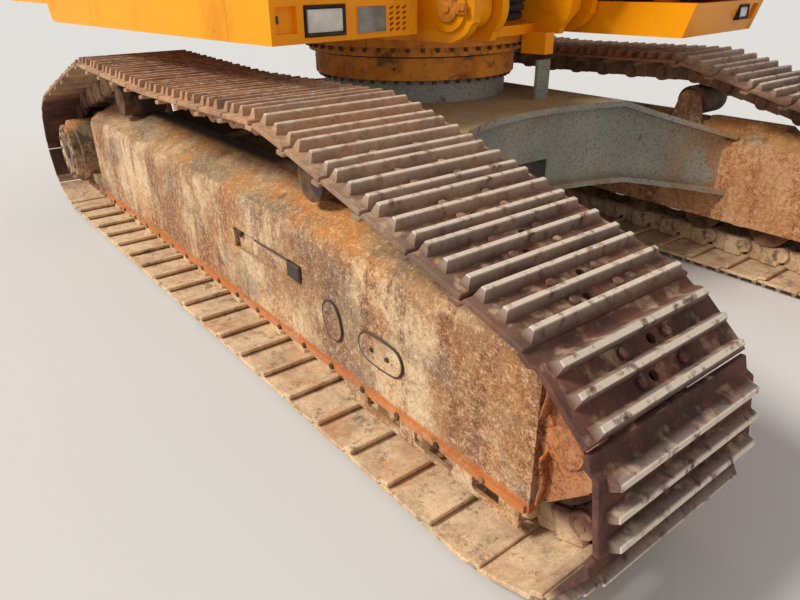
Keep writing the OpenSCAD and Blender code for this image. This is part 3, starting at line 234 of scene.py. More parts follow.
def rusted_frame():
    """Track frames: pale dust and brown paint in upright streaks, broken up by fine red-brown rust; smoother and
    greyer on top, orange along the lower edge and at the yokes, oily where the chain drips on them. The inboard
    sides are lighter and oranger, partly their colour and partly painted light; the top under the track's upper run
    is darkened by oil and painted shade, and the recess beside the carbody by painted shade."""
    s = Surface("rusted_frame", (166, 122, 82))
    ahead, aside = s.on_undercarriage()
    yoke = ahead.step(2.268, 2.290)
    s.over(s.blots(2.4, 0.42, 0.58, 7, 0.6), (220, 188, 146))
    streaks = s.blots(8, 0.46, 0.62, 8, 0.65, at=(3, 1, 7), stretch=(1, 1, 0.22))
    s.over(streaks * 0.65, (128, 84, 58))
    grey = s.blots(3.1, 0.50, 0.62, 7, at=(8, 5, 1), stretch=(0.5, 1, 1))
    s.over(grey * 0.5, (126, 112, 94))
    top = s.upward().step(0.15, 0.75)
    rubbed = s.blots(9, 0.42, 0.60, 7, at=(3, 3, 3), stretch=(0.25, 1, 1))
    s.over(top * (0.55 + rubbed * 0.3), s.mix(rubbed, shade(176, 136, 82), shade(134, 114, 82)))
    blooms = s.blots(1.9, 0.46, 0.60, 8, 0.7, at=(2, 9, 4))
    s.over(blooms * (0.40 + top * 0.4), (206, 134, 60))
    s.over(yoke * (0.55 + blooms * 0.3), (200, 114, 52))
    # Inboard sides: partly their oranger colour, partly painted light that lightens faces lying in the upper
    # structure's shade
    inboard_painted_light = aside.step(1.18, 1.14) * (1 - top)
    s.over(inboard_painted_light * 0.6, (232, 156, 92))
    grains = s.noise(120, 4, 0.8, at=(5, 5, 5))
    coarse = s.noise(38, 6, 0.75, at=(1, 8, 3))
    speckle = (grains * 0.55 + coarse * 0.45).step(0.495, 0.555)
    rusty = 0.40 + blooms * 0.25 + streaks * 0.35
    s.over(speckle * rusty * (1 - top * 0.55), (98, 50, 32))
    pale = (grains * 0.5 + coarse * 0.5).step(0.47, 0.41)
    s.over(pale * 0.5 * (1 - yoke * 0.8), (232, 208, 172))
    low_edge = s.z.step(0.262, 0.240) * s.z.step(0.186, 0.200)
    rail = s.blots(6, 0.36, 0.56, 8, 0.7, at=(9, 2, 2))
    s.over(low_edge * (0.35 + rail * 0.5), (198, 112, 50))
    stains = s.blots(3.4, 0.60, 0.66, 10, 0.7, at=(6, 3, 9))
    s.over(stains * 0.6, (84, 62, 48))
    oil = s.blots(5, 0.44, 0.58, 9, 0.7, at=(2, 2, 8))
    s.over(oil * ahead.step(-1.45, -1.95) * 0.75, (58, 46, 36))
    # Darker on the top under the track's upper run: oil, and painted shade where the track shades the frame
    under_track_oil_and_shade = aside.step(1.36, 1.22) * top * ahead.step(0.6, 0.2)
    s.over(under_track_oil_and_shade * (0.45 + oil * 0.45), (46, 38, 30))
    # Painted shade: a near-black patch on the top beside the carbody stands for a deep shaded recess that is not
    # modelled
    recess = aside.step(1.34, 1.30) * top * ahead.step(0.6, 0.4) * ahead.step(-1.6, -1.4)
    s.over(recess * 0.9, (30, 25, 20))
    relief = grains * 0.35 + coarse * 0.4 + s.noise(9, 6, at=(4, 4, 4)) * 0.6
    return s.finish(0.88, relief=relief, depth=0.007)


def track_steel():
    """Track shoes and links: dark brown steel, orange rust and dust on the top run, soil on the ground, bar tops
    worn pale towards the front."""
    s = Surface("track_steel", (66, 42, 35))
    s.over(s.blots(7, 0.40, 0.64, 7, 0.65), (104, 66, 50))
    top_run = s.z.step(0.75, 0.95)
    behind = s.x.step(0.15, -0.75)
    orange = s.blots(4.5, 0.36, 0.60, 8, 0.7, at=(2, 6, 4))
    toned = s.mix(s.blots(1.7, 0.42, 0.58, 5, at=(5, 8, 1)), shade(176, 146, 116), shade(196, 148, 104))
    s.over(orange * (0.25 + behind * 0.65) * top_run, toned)
    s.over(behind * top_run * 0.45, (178, 150, 120))
    middle = s.x.step(-0.25, -0.9) * s.x.step(-3.3, -2.2)
    middle = middle * s.blots(6, 0.36, 0.58, 9, 0.7, at=(9, 9, 1))
    s.over(middle * top_run * 0.40, (196, 140, 92))
    grains = s.noise(130, 4, 0.75)
    rusty = (grains * 0.6 + s.noise(38, 6, 0.7, at=(3, 3, 3)) * 0.4).step(0.50, 0.60)
    s.over(rusty * 0.55, (128, 62, 38))
    on_ground = s.z.step(0.24, 0.12)
    dusty = s.blots(9, 0.34, 0.58, 8, 0.7, at=(8, 2, 1))
    s.over(on_ground * (0.55 + dusty * 0.4), (232, 200, 158))
    s.over(on_ground * rusty * 0.45, (158, 98, 58))
    debris = s.blots(13, 0.54, 0.61, 9, 0.75, at=(1, 1, 6))
    s.over(on_ground * debris * 0.65, (104, 84, 64))
    rust_spread = s.blots(3.6, 0.50, 0.62, 8, 0.7, at=(6, 1, 1))
    s.over(on_ground * rust_spread * 0.5, (190, 126, 74))
    dust_up = s.upward().step(0.55, 0.95) * s.blots(16, 0.50, 0.68, 8, at=(4, 1, 3))
    s.over(dust_up * 0.70, (198, 166, 130))
    s.over(grains.step(0.58, 0.76) * 0.6, (44, 28, 23))
    front = s.x.step(-1.5, -0.1)
    patchy = s.noise(26, 6, at=(7, 7, 7))
    bare = patchy.step(0.50, 0.62) * (1 - front) * 0.6 + patchy.step(0.30, 0.50) * front
    worn = s.carried("worn") * bare
    s.over(worn, (222, 208, 188))
    relief = grains * 0.6 + s.noise(34, 6, at=(1, 2, 3)) * 0.4
    return s.finish(0.84 - worn * 0.3, worn * 0.25, relief, 0.004)


def greasy_steel():
    """Rollers, sprockets and idlers: dark brown steel with dust and dried grease."""
    s = Surface("greasy_steel", (60, 44, 34))
    s.over(s.blots(9, 0.4, 0.62, 7, 0.6), (124, 84, 54))
    dusty = s.blots(5, 0.50, 0.66, 8, at=(3, 9, 1))
    s.over(dusty * 0.7, (168, 132, 92))
    fine = s.noise(110, 4, 0.7)
    s.over(fine.step(0.55, 0.75) * 0.5, (30, 27, 24))
    return s.finish(0.7 + dusty * 0.2, 0.1, fine, 0.003)


def dusty_carbody():
    """Grey-green paint with tan dust that lies on what faces up, rusty towards the track frames, with painted shade on
    top next to them.
    """
    s = Surface("dusty_carbody", (142, 146, 136))
    s.over(s.blots(2.2, 0.35, 0.65, 6), (164, 162, 148))
    flaked = s.blots(4.5, 0.60, 0.66, 9, 0.7, at=(5, 2, 8))
    s.over(flaked * 0.8, (112, 74, 50))
    drifts = s.noise(6, 8, 0.65, at=(1, 7, 3))
    dust = s.upward().step(0.2, 0.9) * drifts.step(0.28, 0.52)
    s.over(dust * 0.9, (166, 146, 98))
    splashes = s.blots(3.2, 0.48, 0.62, 7, at=(4, 4, 1), stretch=(1, 1, 0.4))
    s.over(splashes * 0.7, (152, 124, 84))
    ahead, aside = s.on_undercarriage()
    outer = aside.step(0.82, 1.10) * s.blots(5, 0.34, 0.54, 8, 0.7, at=(7, 3, 3))
    s.over(outer * 0.85, (176, 130, 82))
    # Painted shade: near-black on the upward faces of the carbody's rear legs next to the track frames, for shade in
    # the recess there
    hollow_shade = aside.step(0.98, 1.04) * s.upward().step(0.2, 0.6) * s.x.step(-1.0, -1.3)
    s.over(hollow_shade * 0.9, (30, 25, 20))
    fine = s.noise(80, 4, 0.65)
    s.over(fine.step(0.52, 0.62) * 0.5, (62, 40, 30))
    return s.finish(0.62 + dust * 0.3, relief=fine * 0.5 + drifts * 0.5, depth=0.003)


def yellow_paint():
    """Semi-gloss yellow with faded clouds, run-down grime, dust on top and a few rusty chips."""
    gloss = {"Coat Weight": 0.06, "Coat Roughness": 0.3, "Specular IOR Level": 0.18}
    s = Surface("yellow_paint", (255, 164, 0), **gloss)
    s.over(s.blots(1.3, 0.38, 0.66, 5) * 0.45, (240, 152, 14))
    grime = s.blots(3.5, 0.52, 0.70, 8, 0.65, at=(2, 3, 9), stretch=(1, 1, 0.45))
    s.over(grime * 0.30, (136, 96, 48))
    dust = s.upward().step(0.5, 0.95) * s.blots(8, 0.42, 0.62, 7, at=(5, 1, 2))
    s.over(dust * 0.35, (188, 160, 112))
    chips = s.blots(11, 0.665, 0.69, 9, 0.75, at=(6, 6, 2))
    s.over(chips * 0.85, (96, 60, 38))
    relief = s.noise(220, 2) * 0.3 - chips * 0.5
    return s.finish(0.38 + grime * 0.25 + chips * 0.3, relief=relief, depth=0.0008)


def greasy_yellow():
    """Slew ring and its neighbours: yellow-orange paint, dark grease and rust in the corners."""
    s = Surface("greasy_yellow", (226, 142, 20))
    worn = s.blots(5, 0.42, 0.62, 8, 0.65)
    s.over(worn * 0.6, (158, 90, 30))
    grease = s.blots(7, 0.55, 0.68, 8, at=(4, 8, 1), stretch=(1, 1, 1.8))
    s.over(grease * 0.75, (66, 44, 26))
    spots = s.blots(30, 0.56, 0.62, 8, 0.75, at=(7, 2, 5))
    s.over(spots * 0.6, (112, 62, 34))
    dust = s.upward().step(0.4, 0.9) * s.blots(12, 0.4, 0.6, 6, at=(2, 2, 7))
    s.over(dust * 0.6, (150, 104, 58))
    return s.finish(0.55 + worn * 0.2, relief=s.noise(70, 5), depth=0.002)


def bucket_steel():
    """Bucket: rusty brown with ground-worn grey where it digs."""
    s = Surface("bucket_steel", (98, 66, 46))
    clouds = s.blots(3.2, 0.38, 0.62, 8, 0.65)
    s.over(clouds, (148, 94, 56))
    scoured = s.z.step(0.55, 0.05) * s.blots(5, 0.36, 0.58, 7, at=(1, 5, 5), stretch=(0.4, 1, 1))
    s.over(scoured * 0.85, (140, 134, 126))
    dusty = s.blots(12, 0.46, 0.66, 9, 0.7, at=(7, 1, 4))
    s.over(dusty * 0.32, (186, 156, 118))
    fine = s.noise(100, 4, 0.7)
    s.over(fine.step(0.56, 0.76) * 0.5, (62, 40, 30))
    return s.finish(0.78 - scoured * 0.3, scoured * 0.5, fine * 0.6 + clouds * 0.4, 0.004)


def dark_part(name, tone, roughness):
    """Black and dark grey small parts: paint, plastic or cast iron, with dust on top."""
    s = Surface(name, tone)
    dust = s.upward().step(0.3, 0.9) * s.blots(12, 0.40, 0.62, 7)
    s.over(dust * 0.4, (120, 108, 90))
    return s.finish(roughness + dust * 0.2, relief=s.noise(300, 2), depth=0.0005)


def seat_cloth():
    s = Surface("seat_cloth", (56, 56, 60), **{"Sheen Weight": 0.3})
    weave = s.pits(420)
    s.over(weave.step(0.2, 0.6), (44, 44, 48))
    return s.finish(0.92, relief=weave, depth=0.0004)


def rod_chrome():
    """Piston rods: chrome under a thin film of oil and dust."""
    s = Surface("rod_chrome", (205, 205, 208))
    film = s.blots(14, 0.45, 0.70, 6, stretch=(1, 1, 0.3))
    s.over(film * 0.4, (150, 136, 116))
    return s.finish(0.10 + film * 0.25, 1.0 - film * 0.2)


def window_glass():
    s = Surface("window_glass", (196, 208, 206), **{"Transmission Weight": 1.0, "IOR": 1.45})
    return s.finish(0.03 + s.blots(6, 0.50, 0.72, 7, stretch=(1, 1, 0.4)) * 0.12)


def lens_glass():
    """Pressed lamp glass: pale, ribbed, a little dusty."""
    s = Surface("lens_glass", (226, 228, 222), **{"IOR": 1.45})
    ribs = s.noise(4, 1, stretch=(0, 30, 1))
    haze = s.blots(18, 0.42, 0.66, 6)
    s.over(haze * 0.5, (186, 176, 156))
    return s.finish(0.12 + haze * 0.3, relief=ribs, depth=0.004)


def red_lens():
    s = Surface("red_lens", (170, 22, 18), **{"IOR": 1.45})
    haze = s.blots(25, 0.45, 0.7, 5)
    s.over(haze * 0.4, (130, 70, 52))
    return s.finish(0.2 + haze * 0.3, relief=s.pits(140), depth=0.001)


def plain_metal(name, tone, dirt, roughness, metallic):
    """Bare or plated metal with dirt in clouds and fine scratches."""
    s = Surface(name, tone)
    film = s.blots(12, 0.40, 0.66, 7, 0.65)
    s.over(film * 0.55, dirt)
    return s.finish(roughness + film * 0.25, metallic, s.noise(260, 3), 0.0006)


def rubber(name, tone):
    """Hose and seal rubber: black with dust, fine cloth marks along it."""
    s = Surface(name, tone)
    dust = s.upward().step(0.1, 0.9) * s.blots(20, 0.40, 0.62, 7)
    s.over(dust * 0.5, (112, 102, 86))
    return s.finish(0.75, relief=s.pits(300), depth=0.0006)


FINISHES = {
    "worn_track_steel": greasy_steel(),
    "rusty_paint": rusted_frame(),
    "grey_green_paint": dusty_carbody(),
    "yellow_paint": yellow_paint(),
    "greasy_yellow": greasy_yellow(),
    "bucket_steel": bucket_steel(),
    "window_glass": window_glass(),
    "seat_fabric": seat_cloth(),
    "rod_chrome": rod_chrome(),
    "dark_plastic": dark_part("dark_plastic", (34, 34, 35), 0.55),
    "dark_paint": dark_part("dark_paint", (58, 60, 60), 0.6),
    "dark_steel": dark_part("dark_steel", (66, 50, 40), 0.7),
    "rail_black": dark_part("rail_black", (30, 30, 30), 0.4),
}
TRACK_STEEL = track_steel()
RING_BOLT = dark_part("ring_bolt", (96, 60, 34), 0.6)
LENS = lens_glass()
RED_LENS = red_lens()
BARE_PLATE = plain_metal("bare_plate", (150, 150, 146), (112, 104, 92), 0.4, 0.5)
BOLT_STEEL = plain_metal("bolt_steel", (104, 92, 80), (84, 58, 42), 0.5, 0.6)
HOSE = rubber("hose_rubber", (24, 24, 24))
BLACK = FINISHES["dark_plastic"]
for part in frame["record"]["subparts"]:
    mesh = nodes[part["node"]].data
    mesh.materials.clear()
    mesh.materials.append(FINISHES[part["material_slot"]])


# Modelling helpers
SHARP_EDGE = math.radians(60)


def deselect():
    bpy.ops.object.select_all(action="DESELECT")


def mode(name):
    bpy.ops.object.mode_set(mode=name)


def edit():
    """Opens the active mesh with all of it selected."""
    mode("EDIT")
    bpy.ops.mesh.select_all(action="SELECT")


def pick(piece):
    """Makes the piece the one that the next operator works on."""
    deselect()
    bpy.context.view_layer.objects.active = piece
    piece.select_set(True)
    return piece


def settle(piece):
    """Puts the piece's place into its mesh, so that its object sits at the origin, unturned."""
    pick(piece)
    bpy.ops.object.transform_apply(location=True, rotation=True, scale=True)
    return piece


def round_edges(width, segments=1, sharp_only=False):
    """Bevels the edges of the active mesh: all of them, or only the sharp ones."""
    edit()
    if sharp_only:
        bpy.ops.mesh.edges_select_sharp(sharpness=SHARP_EDGE)
    bpy.ops.mesh.bevel(offset=width, segments=segments)
    mode("OBJECT")


def slice_at(places, normal):
    """Cuts the active mesh along planes through the places, without taking anything away."""
    for place in places:
        edit()
        bpy.ops.mesh.bisect(plane_co=place, plane_no=normal)
    mode("OBJECT")


def cut_out(piece, tool):
    """Takes the tool's volume out of the piece, and the tool away."""
    cut = piece.modifiers.new("cut", "BOOLEAN")
    cut.operation = "DIFFERENCE"
    cut.object = tool
    pick(piece)
    bpy.ops.object.modifier_apply(modifier="cut")
    bpy.data.objects.remove(tool)


def brick(size, centre, bevel=0.0, segments=1):
    """Block of the size (x, y, z) about its centre, its edges rounded."""
    deselect()
    bpy.ops.mesh.primitive_cube_add(size=1, location=centre)
    piece = bpy.context.object
    piece.scale = size
    settle(piece)
    if bevel:
        round_edges(bevel, segments)
    return piece


def drum(radius, length, centre, axis="Y", sides=24, bevel=0.0):
    """Round bar of the length along an axis about its centre, its rims rounded."""
    deselect()
    turn = {"X": (0, math.pi / 2, 0), "Y": (math.pi / 2, 0, 0), "Z": (0, 0, 0)}[axis]
    bpy.ops.mesh.primitive_cylinder_add(vertices=sides, radius=radius, depth=length, location=centre, rotation=turn)
    piece = settle(bpy.context.object)
    if bevel:
        round_edges(bevel, sharp_only=True)
    return piece


def tube(points, radius, closed=False, sides=3, steps=6):
    """Round bar bent smoothly through the points, as a mesh; sides is its bevel resolution."""
    deselect()
    bpy.ops.curve.primitive_bezier_curve_add()
    piece = bpy.context.object
    spline = piece.data.splines[0]
    spline.bezier_points.add(len(points) - 2)
    for knot, point in zip(spline.bezier_points, points):
        knot.co = point
        knot.handle_left_type = knot.handle_right_type = "AUTO"
    spline.use_cyclic_u = closed
    piece.data.dimensions = "3D"
    piece.data.bevel_depth = radius
    piece.data.bevel_resolution = sides
    piece.data.resolution_u = steps
    piece.data.use_fill_caps = True
    bpy.ops.object.convert(target="MESH")
    return smooth(settle(bpy.context.object), 50)


def framed(size, centre, rim, depth, facing=(1, 0, 0)):
    """Housing with a sunk face: a block whose face towards facing is inset by rim and pushed in by depth."""
    piece = pick(brick(size, centre, 0.003))
    ahead = Vector(facing)
    mode("EDIT")
    bpy.ops.mesh.select_mode(type="FACE")
    bpy.ops.mesh.select_all(action="DESELECT")
    mode("OBJECT")
    for face in piece.data.polygons:
        face.select = face.normal.dot(ahead) > 0.98
    mode("EDIT")
    bpy.ops.mesh.inset(thickness=rim)
    bpy.ops.transform.translate(value=tuple(-ahead * depth))
    mode("OBJECT")
    return piece


def named(piece, name):
    piece.name = name
    piece.data.name = name
    return piece


def joined(pieces):
    """One piece from several, with the first one's material slots."""
    deselect()
    for piece in pieces:
        piece.select_set(True)
    bpy.context.view_layer.objects.active = pieces[0]
    bpy.ops.object.join()
    return pieces[0]


def place_on(piece, matrix):
    """Moves a piece's mesh by the matrix, right way out also where it mirrors."""
    piece.data.transform(matrix)
    if matrix.determinant() < 0:
        piece.data.flip_normals()
    return piece


def copies(piece, places):
    """A copy of the piece's mesh at each place; the last place takes the piece itself."""
    made = [piece.copy() for _ in places[1:]]
    for copy in made:
        copy.data = piece.data.copy()
        bpy.context.scene.collection.objects.link(copy)
    return [place_on(copy, place) for copy, place in zip(made + [piece], places)]


def turned_about(place, degrees, axis):
    """Moves what is built about the origin to the place, turned about an axis."""
    return Matrix.Translation(place) @ Matrix.Rotation(math.radians(degrees), 4, axis)


def smooth(piece, angle=35):
    pick(piece)
    bpy.ops.object.shade_smooth_by_angle(angle=math.radians(angle))
    return piece


def dressed(piece, material):
    piece.data.materials.clear()
    piece.data.materials.append(material)
    return piece


def put(piece, name, material, body, angle=35):
    """Names, smooths and dresses a finished piece and sets it on the body that it moves with."""
    dressed(smooth(named(piece, name), angle), material)
    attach(piece, body)
    return piece


def put_in(slot, piece, name, body, angle=35):
    """The same for a piece that takes its finish from a slot of the model."""
    return put(piece, name, FINISHES[slot], body, angle)


def turned(x, z, angle):
    return Vector((x * math.cos(angle) - z * math.sin(angle), 0, x * math.sin(angle) + z * math.cos(angle)))


def shifted(point, y):
    """The point moved to y."""
    return Vector((point.x, y, point.z))


def on_track(side):
    """Place of a track's own frame: X along it from its middle, +Y outward on that side."""
    return (Matrix.Translation((SLEW_X, 0, 0)) @ Matrix.Rotation(-HEADING, 4, "Z")
            @ Matrix.Translation((TRACK_FORWARD, side * TRACK_GAUGE / 2, 0)) @ Matrix.Scale(side, 4, (0, 1, 0)))


# Path of a track's chain
ARC_STEPS = 14
WHEEL_Z = BAR_H + LINK_H + WHEEL_R
RUN_Z = TRACK_H - BAR_H - LINK_H


def slope(inset):
    """Slope of the chain between a wheel and the carrier roller that is inset from it."""
    rise = RUN_Z - WHEEL_Z
    return math.atan2(rise, inset) - math.asin(WHEEL_R / math.hypot(inset, rise))


def chain_path():
    """The pin line of a track as points in its own plane, from under the idler round to under the sprocket."""
    front, rear = (slope(inset) for inset in CARRIER_INSETS)
    tangents = sum(math.sqrt(inset ** 2 + (RUN_Z - WHEEL_Z) ** 2 - WHEEL_R ** 2) for inset in CARRIER_INSETS)
    arcs = WHEEL_R * (2 * math.pi - front - rear)
    wheel_x = (SHOE_COUNT * CHAIN_PITCH - arcs - tangents + sum(CARRIER_INSETS)) / 4

    def arc(x, start, end):
        return [Vector((x, 0, WHEEL_Z)) + turned(WHEEL_R, 0, start + (end - start) * step / ARC_STEPS)
                for step in range(ARC_STEPS + 1)]

    ahead, behind = wheel_x - CARRIER_INSETS[0], CARRIER_INSETS[1] - wheel_x
    top = [Vector((x, 0, z)) for x, z in
           ((ahead, RUN_Z), ((ahead + behind) / 2, RUN_Z - TRACK_SAG), (behind, RUN_Z))]
    points = (arc(wheel_x, -math.pi / 2, math.pi / 2 - front) + top
              + arc(-wheel_x, math.pi / 2 + rear, 1.5 * math.pi))
    return points + points[:1], wheel_x


CHAIN_POINTS, WHEEL_X = chain_path()


def along_chain(distance):
    """Point at a distance along the pin line."""
    for start, end in zip(CHAIN_POINTS, CHAIN_POINTS[1:]):
        length = (end - start).length
        if distance <= length:
            return start.lerp(end, distance / length)
        distance -= length
    return CHAIN_POINTS[-1]


def shoe_places():
    """Place of each shoe on its track: X from pin to pin, Y across, Z outward."""
    total = sum((b - a).length for a, b in zip(CHAIN_POINTS, CHAIN_POINTS[1:]))
    pins = [along_chain(total * k / SHOE_COUNT) for k in range(SHOE_COUNT)]
    places = []
    for a, b in zip(pins, pins[1:] + pins[:1]):
        ahead = (b - a).normalized()
        axes = Matrix((ahead, (0, -1, 0), (ahead.z, 0, -ahead.x)))
        places.append(Matrix.Translation(a) @ axes.transposed().to_4x4())
    return places


# Shoes: three bars, four bolts and two holes on a plate
PLATE_T = 0.018
PLATE_REAR = 0.005
MIDDLE_BAR_X = CHAIN_PITCH / 2
BAR_SPACING = 0.083
BAR_FOOT, BAR_TIP = 0.040, 0.015
BAR_INSET = 0.026
BAR_SINK = 0.002
OUTER_BAR_CUT = 0.01
BETWEEN_BARS = 0.041
HOLE_Y, HOLE_R = 0.034, 0.016
BOLT_Y, BOLT_R, BOLT_H = 0.092, 0.0175, 0.014
# Lip that the next shoe laps over: place along the shoe and depth under its plate
LIP = ((CHAIN_PITCH - 0.009, 0.0), (CHAIN_PITCH + 0.005, 0.020), (CHAIN_PITCH + 0.046, 0.025))


def mark_worn(piece, low, high):
    """Stores how far each point lies from low to high along Z, which the finish reads as wear."""
    wear = piece.data.attributes.get("worn") or piece.data.attributes.new("worn", "FLOAT", "POINT")
    wear.data.foreach_set("value", [min(1, max(0, (v.co.z - low) / (high - low))) for v in piece.data.vertices])


def unworn(piece):
    """Stores no wear at all: the whole piece lies under its start."""
    mark_worn(piece, 1, 2)
    return piece


def shoe_bar(x, cut):
    """One bar across a shoe, its flanks sloped to a narrow top, with blunt sloped ends."""
    bar = brick((BAR_FOOT, SHOE_W - 2 * BAR_INSET - cut, BAR_H + BAR_SINK), (x, 0, LINK_H + (BAR_H - BAR_SINK) / 2))
    slice_at([(0, 0, LINK_H + BAR_H * level) for level in (0.84, 0.95)], (0, 0, 1))
    for point in bar.data.vertices:
        rise = max(0, (point.co.z - LINK_H) / BAR_H)
        point.co.x = x + (point.co.x - x) * (1 - rise * (1 - BAR_TIP / BAR_FOOT))
        point.co.y *= 1 - 0.03 * rise
    mark_worn(bar, LINK_H + BAR_H * 0.80, LINK_H + BAR_H * 0.94)
    return bar


def shoe():
    """A triple-bar shoe: plate with bent edges and holes, three bars, four bolts."""
    length = LIP[2][0] - PLATE_REAR
    plate = brick((length, SHOE_W, PLATE_T), (PLATE_REAR + length / 2, 0, LINK_H - PLATE_T / 2))
    slice_at([(x, 0, 0) for x, _ in LIP[:2]], (1, 0, 0))
    for corner in plate.data.vertices:
        for x, depth in LIP[1:]:
            if abs(corner.co.x - x) < 0.001:
                corner.co.z -= depth
    round_edges(0.003, sharp_only=True)
    for side in (-1, 1):
        place = (MIDDLE_BAR_X + side * BETWEEN_BARS, side * HOLE_Y, LINK_H)
        cut_out(plate, drum(HOLE_R, 0.06, place, "Z", 16))
    unworn(plate)
    bars = [shoe_bar(MIDDLE_BAR_X + step * BAR_SPACING, abs(step) * OUTER_BAR_CUT) for step in (-1, 0, 1)]
    bolts = [unworn(drum(BOLT_R, BOLT_H, (x, y, LINK_H + 0.006), "Z", 6, 0.003))
             for x in (MIDDLE_BAR_X - BETWEEN_BARS, MIDDLE_BAR_X + BETWEEN_BARS) for y in (-BOLT_Y, BOLT_Y)]
    return joined([plate] + bars + bolts)


# Chain links: inner plates at the pin and outer ones that lap over the next pin
LINK_PLATE = (0.030, 0.118)
LINK_Z = 0.022
INNER_Y, OUTER_Y = 0.078, 0.100


def chain_link():
    """Links, pin and bushing of one pitch: two plates each side that lap at the pins."""
    parts = [drum(0.033, 0.15, (0, 0, 0), "Y", 14), drum(0.022, 0.235, (0, 0, 0), "Y", 12, 0.003)]
    for side in (-1, 1):
        parts += [brick((0.165, *LINK_PLATE), (0.098, side * INNER_Y, LINK_Z), 0.012),
                  brick((0.120, *LINK_PLATE), (0.165, side * OUTER_Y, LINK_Z), 0.012),
                  drum(0.050, 0.030, (0, side * INNER_Y, 0), "Y", 14, 0.004),
                  drum(0.047, 0.028, (CHAIN_PITCH, side * (OUTER_Y + 0.001), 0), "Y", 14, 0.004)]
    return unworn(joined(parts))


def make_track(side, name):
    places = [on_track(side) @ place for place in shoe_places()]
    shoes, _ = (put(joined(copies(build(), places)), kind + name, TRACK_STEEL, "undercarriage",
                    angle) for build, kind, angle in ((shoe, "shoes_", 30), (chain_link, "chain_", 40)))
    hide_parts("track_" + name)


# Slew ring: bolt heads, seal and grease nipples
def round_ring(count, start=0.0):
    """Places round the slew axis, the first turned by start."""
    return [Matrix.Translation((SLEW_X, 0, 0)) @ Matrix.Rotation(start + 2 * math.pi * k / count, 4, "Z")
            for k in range(count)]


def ring_bolts():
    """Bolt heads round the slew ring: under its flange on the fixed race, and on the turning race."""
    for name, body, radius, z, size in (("fixed", "undercarriage", 0.576, 1.100, 0.013),
                                       ("turning", "upper", 0.652, 1.268, 0.012)):
        head = drum(size, 0.024, (radius, 0, z), "Z", 6, 0.003)
        put(joined(copies(head, round_ring(52))), "ring_bolts_" + name, RING_BOLT, body)


def ring_seal():
    """Black rubber lip in the joint of the slew ring, and grease nipples round it."""
    lip = drum(0.604, 0.010, (SLEW_X, 0, 1.2285), "Z", 96, 0.003)
    put(lip, "ring_seal", HOSE, "undercarriage")
    nipple = joined([drum(0.008, 0.02, (0.610, 0, 1.17), "X", 6, 0.002),
                     drum(0.004, 0.016, (0.626, 0, 1.17), "X", 8, 0.001)])
    put(joined(copies(nipple, round_ring(4, 0.6))), "ring_nipples", BOLT_STEEL, "undercarriage")


# Lamps, blank plate and latch at the front of the upper structure
LAMP_BOX_X = DECK_X + 0.5
CAB_FRONT_X = DECK_X + 1.32
ROOF_LAMP_X = CAB_FRONT_X - 0.46
PLATE_Y, PLATE_Z = -0.913, 1.444


def lamp(name, centre, width, height, depth):
    """Lamp that shines forward: black housing with a ribbed lens set into it."""
    centre = Vector(centre)
    housing = framed((depth, width, height), centre, 0.012, 0.016)
    face = centre + Vector((depth / 2 - 0.014, 0, 0))
    lens = framed((0.016, width - 0.028, height - 0.028), face, 0.008, -0.003)
    put_in("dark_plastic", housing, name + "_housing", "upper")
    put(lens, name + "_lens", LENS, "upper")


def front_lamps():
    lamp("head_lamp", (LAMP_BOX_X - 0.006, -1.1725, 1.4495), 0.215, 0.118, 0.032)
    lamp("cab_base_lamp", (CAB_FRONT_X - 0.020, 1.19, 1.4175), 0.128, 0.078, 0.040)
    for number, y in enumerate((0.78, 1.25)):
        lamp("roof_lamp_%d" % number, (ROOF_LAMP_X, y, 3.30), 0.15, 0.10, 0.09)
        foot = brick((0.030, 0.05, 0.03), (ROOF_LAMP_X, y, 3.243), 0.004)
        put(foot, "roof_lamp_foot_%d" % number, BLACK, "upper")
    plate = brick((0.004, 0.168, 0.106), (LAMP_BOX_X + 0.0055, PLATE_Y, PLATE_Z), 0.0012)
    rivets = [drum(0.004, 0.004, (LAMP_BOX_X + 0.008, PLATE_Y + a * 0.076, PLATE_Z + b * 0.045), "X", 10, 0.001)
              for a in (-1, 1) for b in (-1, 1)]
    put(joined([plate] + rivets), "blank_plate", BARE_PLATE, "upper")
    latch = brick((0.004, 0.012, 0.03), (LAMP_BOX_X - 0.023, -1.40, 1.46), 0.001)
    put(latch, "recess_latch", BOLT_STEEL, "upper")


def swivel_hoses():
    """Black hoses between the boom brackets, from the swivel to the boom, held to the deck."""
    for k in range(5):
        z = 1.42 + 0.042 * k
        route = [(-1.62, -0.225, z), (-1.38, -0.185, z + 0.005), (-1.21 + 0.012 * k, 0.0, z),
                 (-1.36, 0.185, z + 0.005), (-1.62, 0.225, z)]
        put(tube(route, 0.020), "swivel_hose_%d" % k, HOSE, "upper", angle=60)


# Boom and stick as they stand at rest: pins, lengths and the boom's bent middle line with half its depth
BOOM_FOOT = Vector((DECK_X + 0.2, 0, 2.18))
BOOM_REST = math.radians(20.078)
BOOM_BEND, BOOM_HEAD = Vector((2.7, 2.1)), Vector((6.6, 0))
BOOM_HALF = ((0, 0.17), (0.12, 0.23), (0.42, 0.42), (0.6, 0.38), (1, 0.19))
STICK_PIVOT = BOOM_FOOT + turned(*BOOM_HEAD, BOOM_REST)
STICK_ANGLE = math.radians(20.078 - 116)
STICK_L = 3.05
BUCKET_ANGLE = STICK_ANGLE - math.radians(19.378)


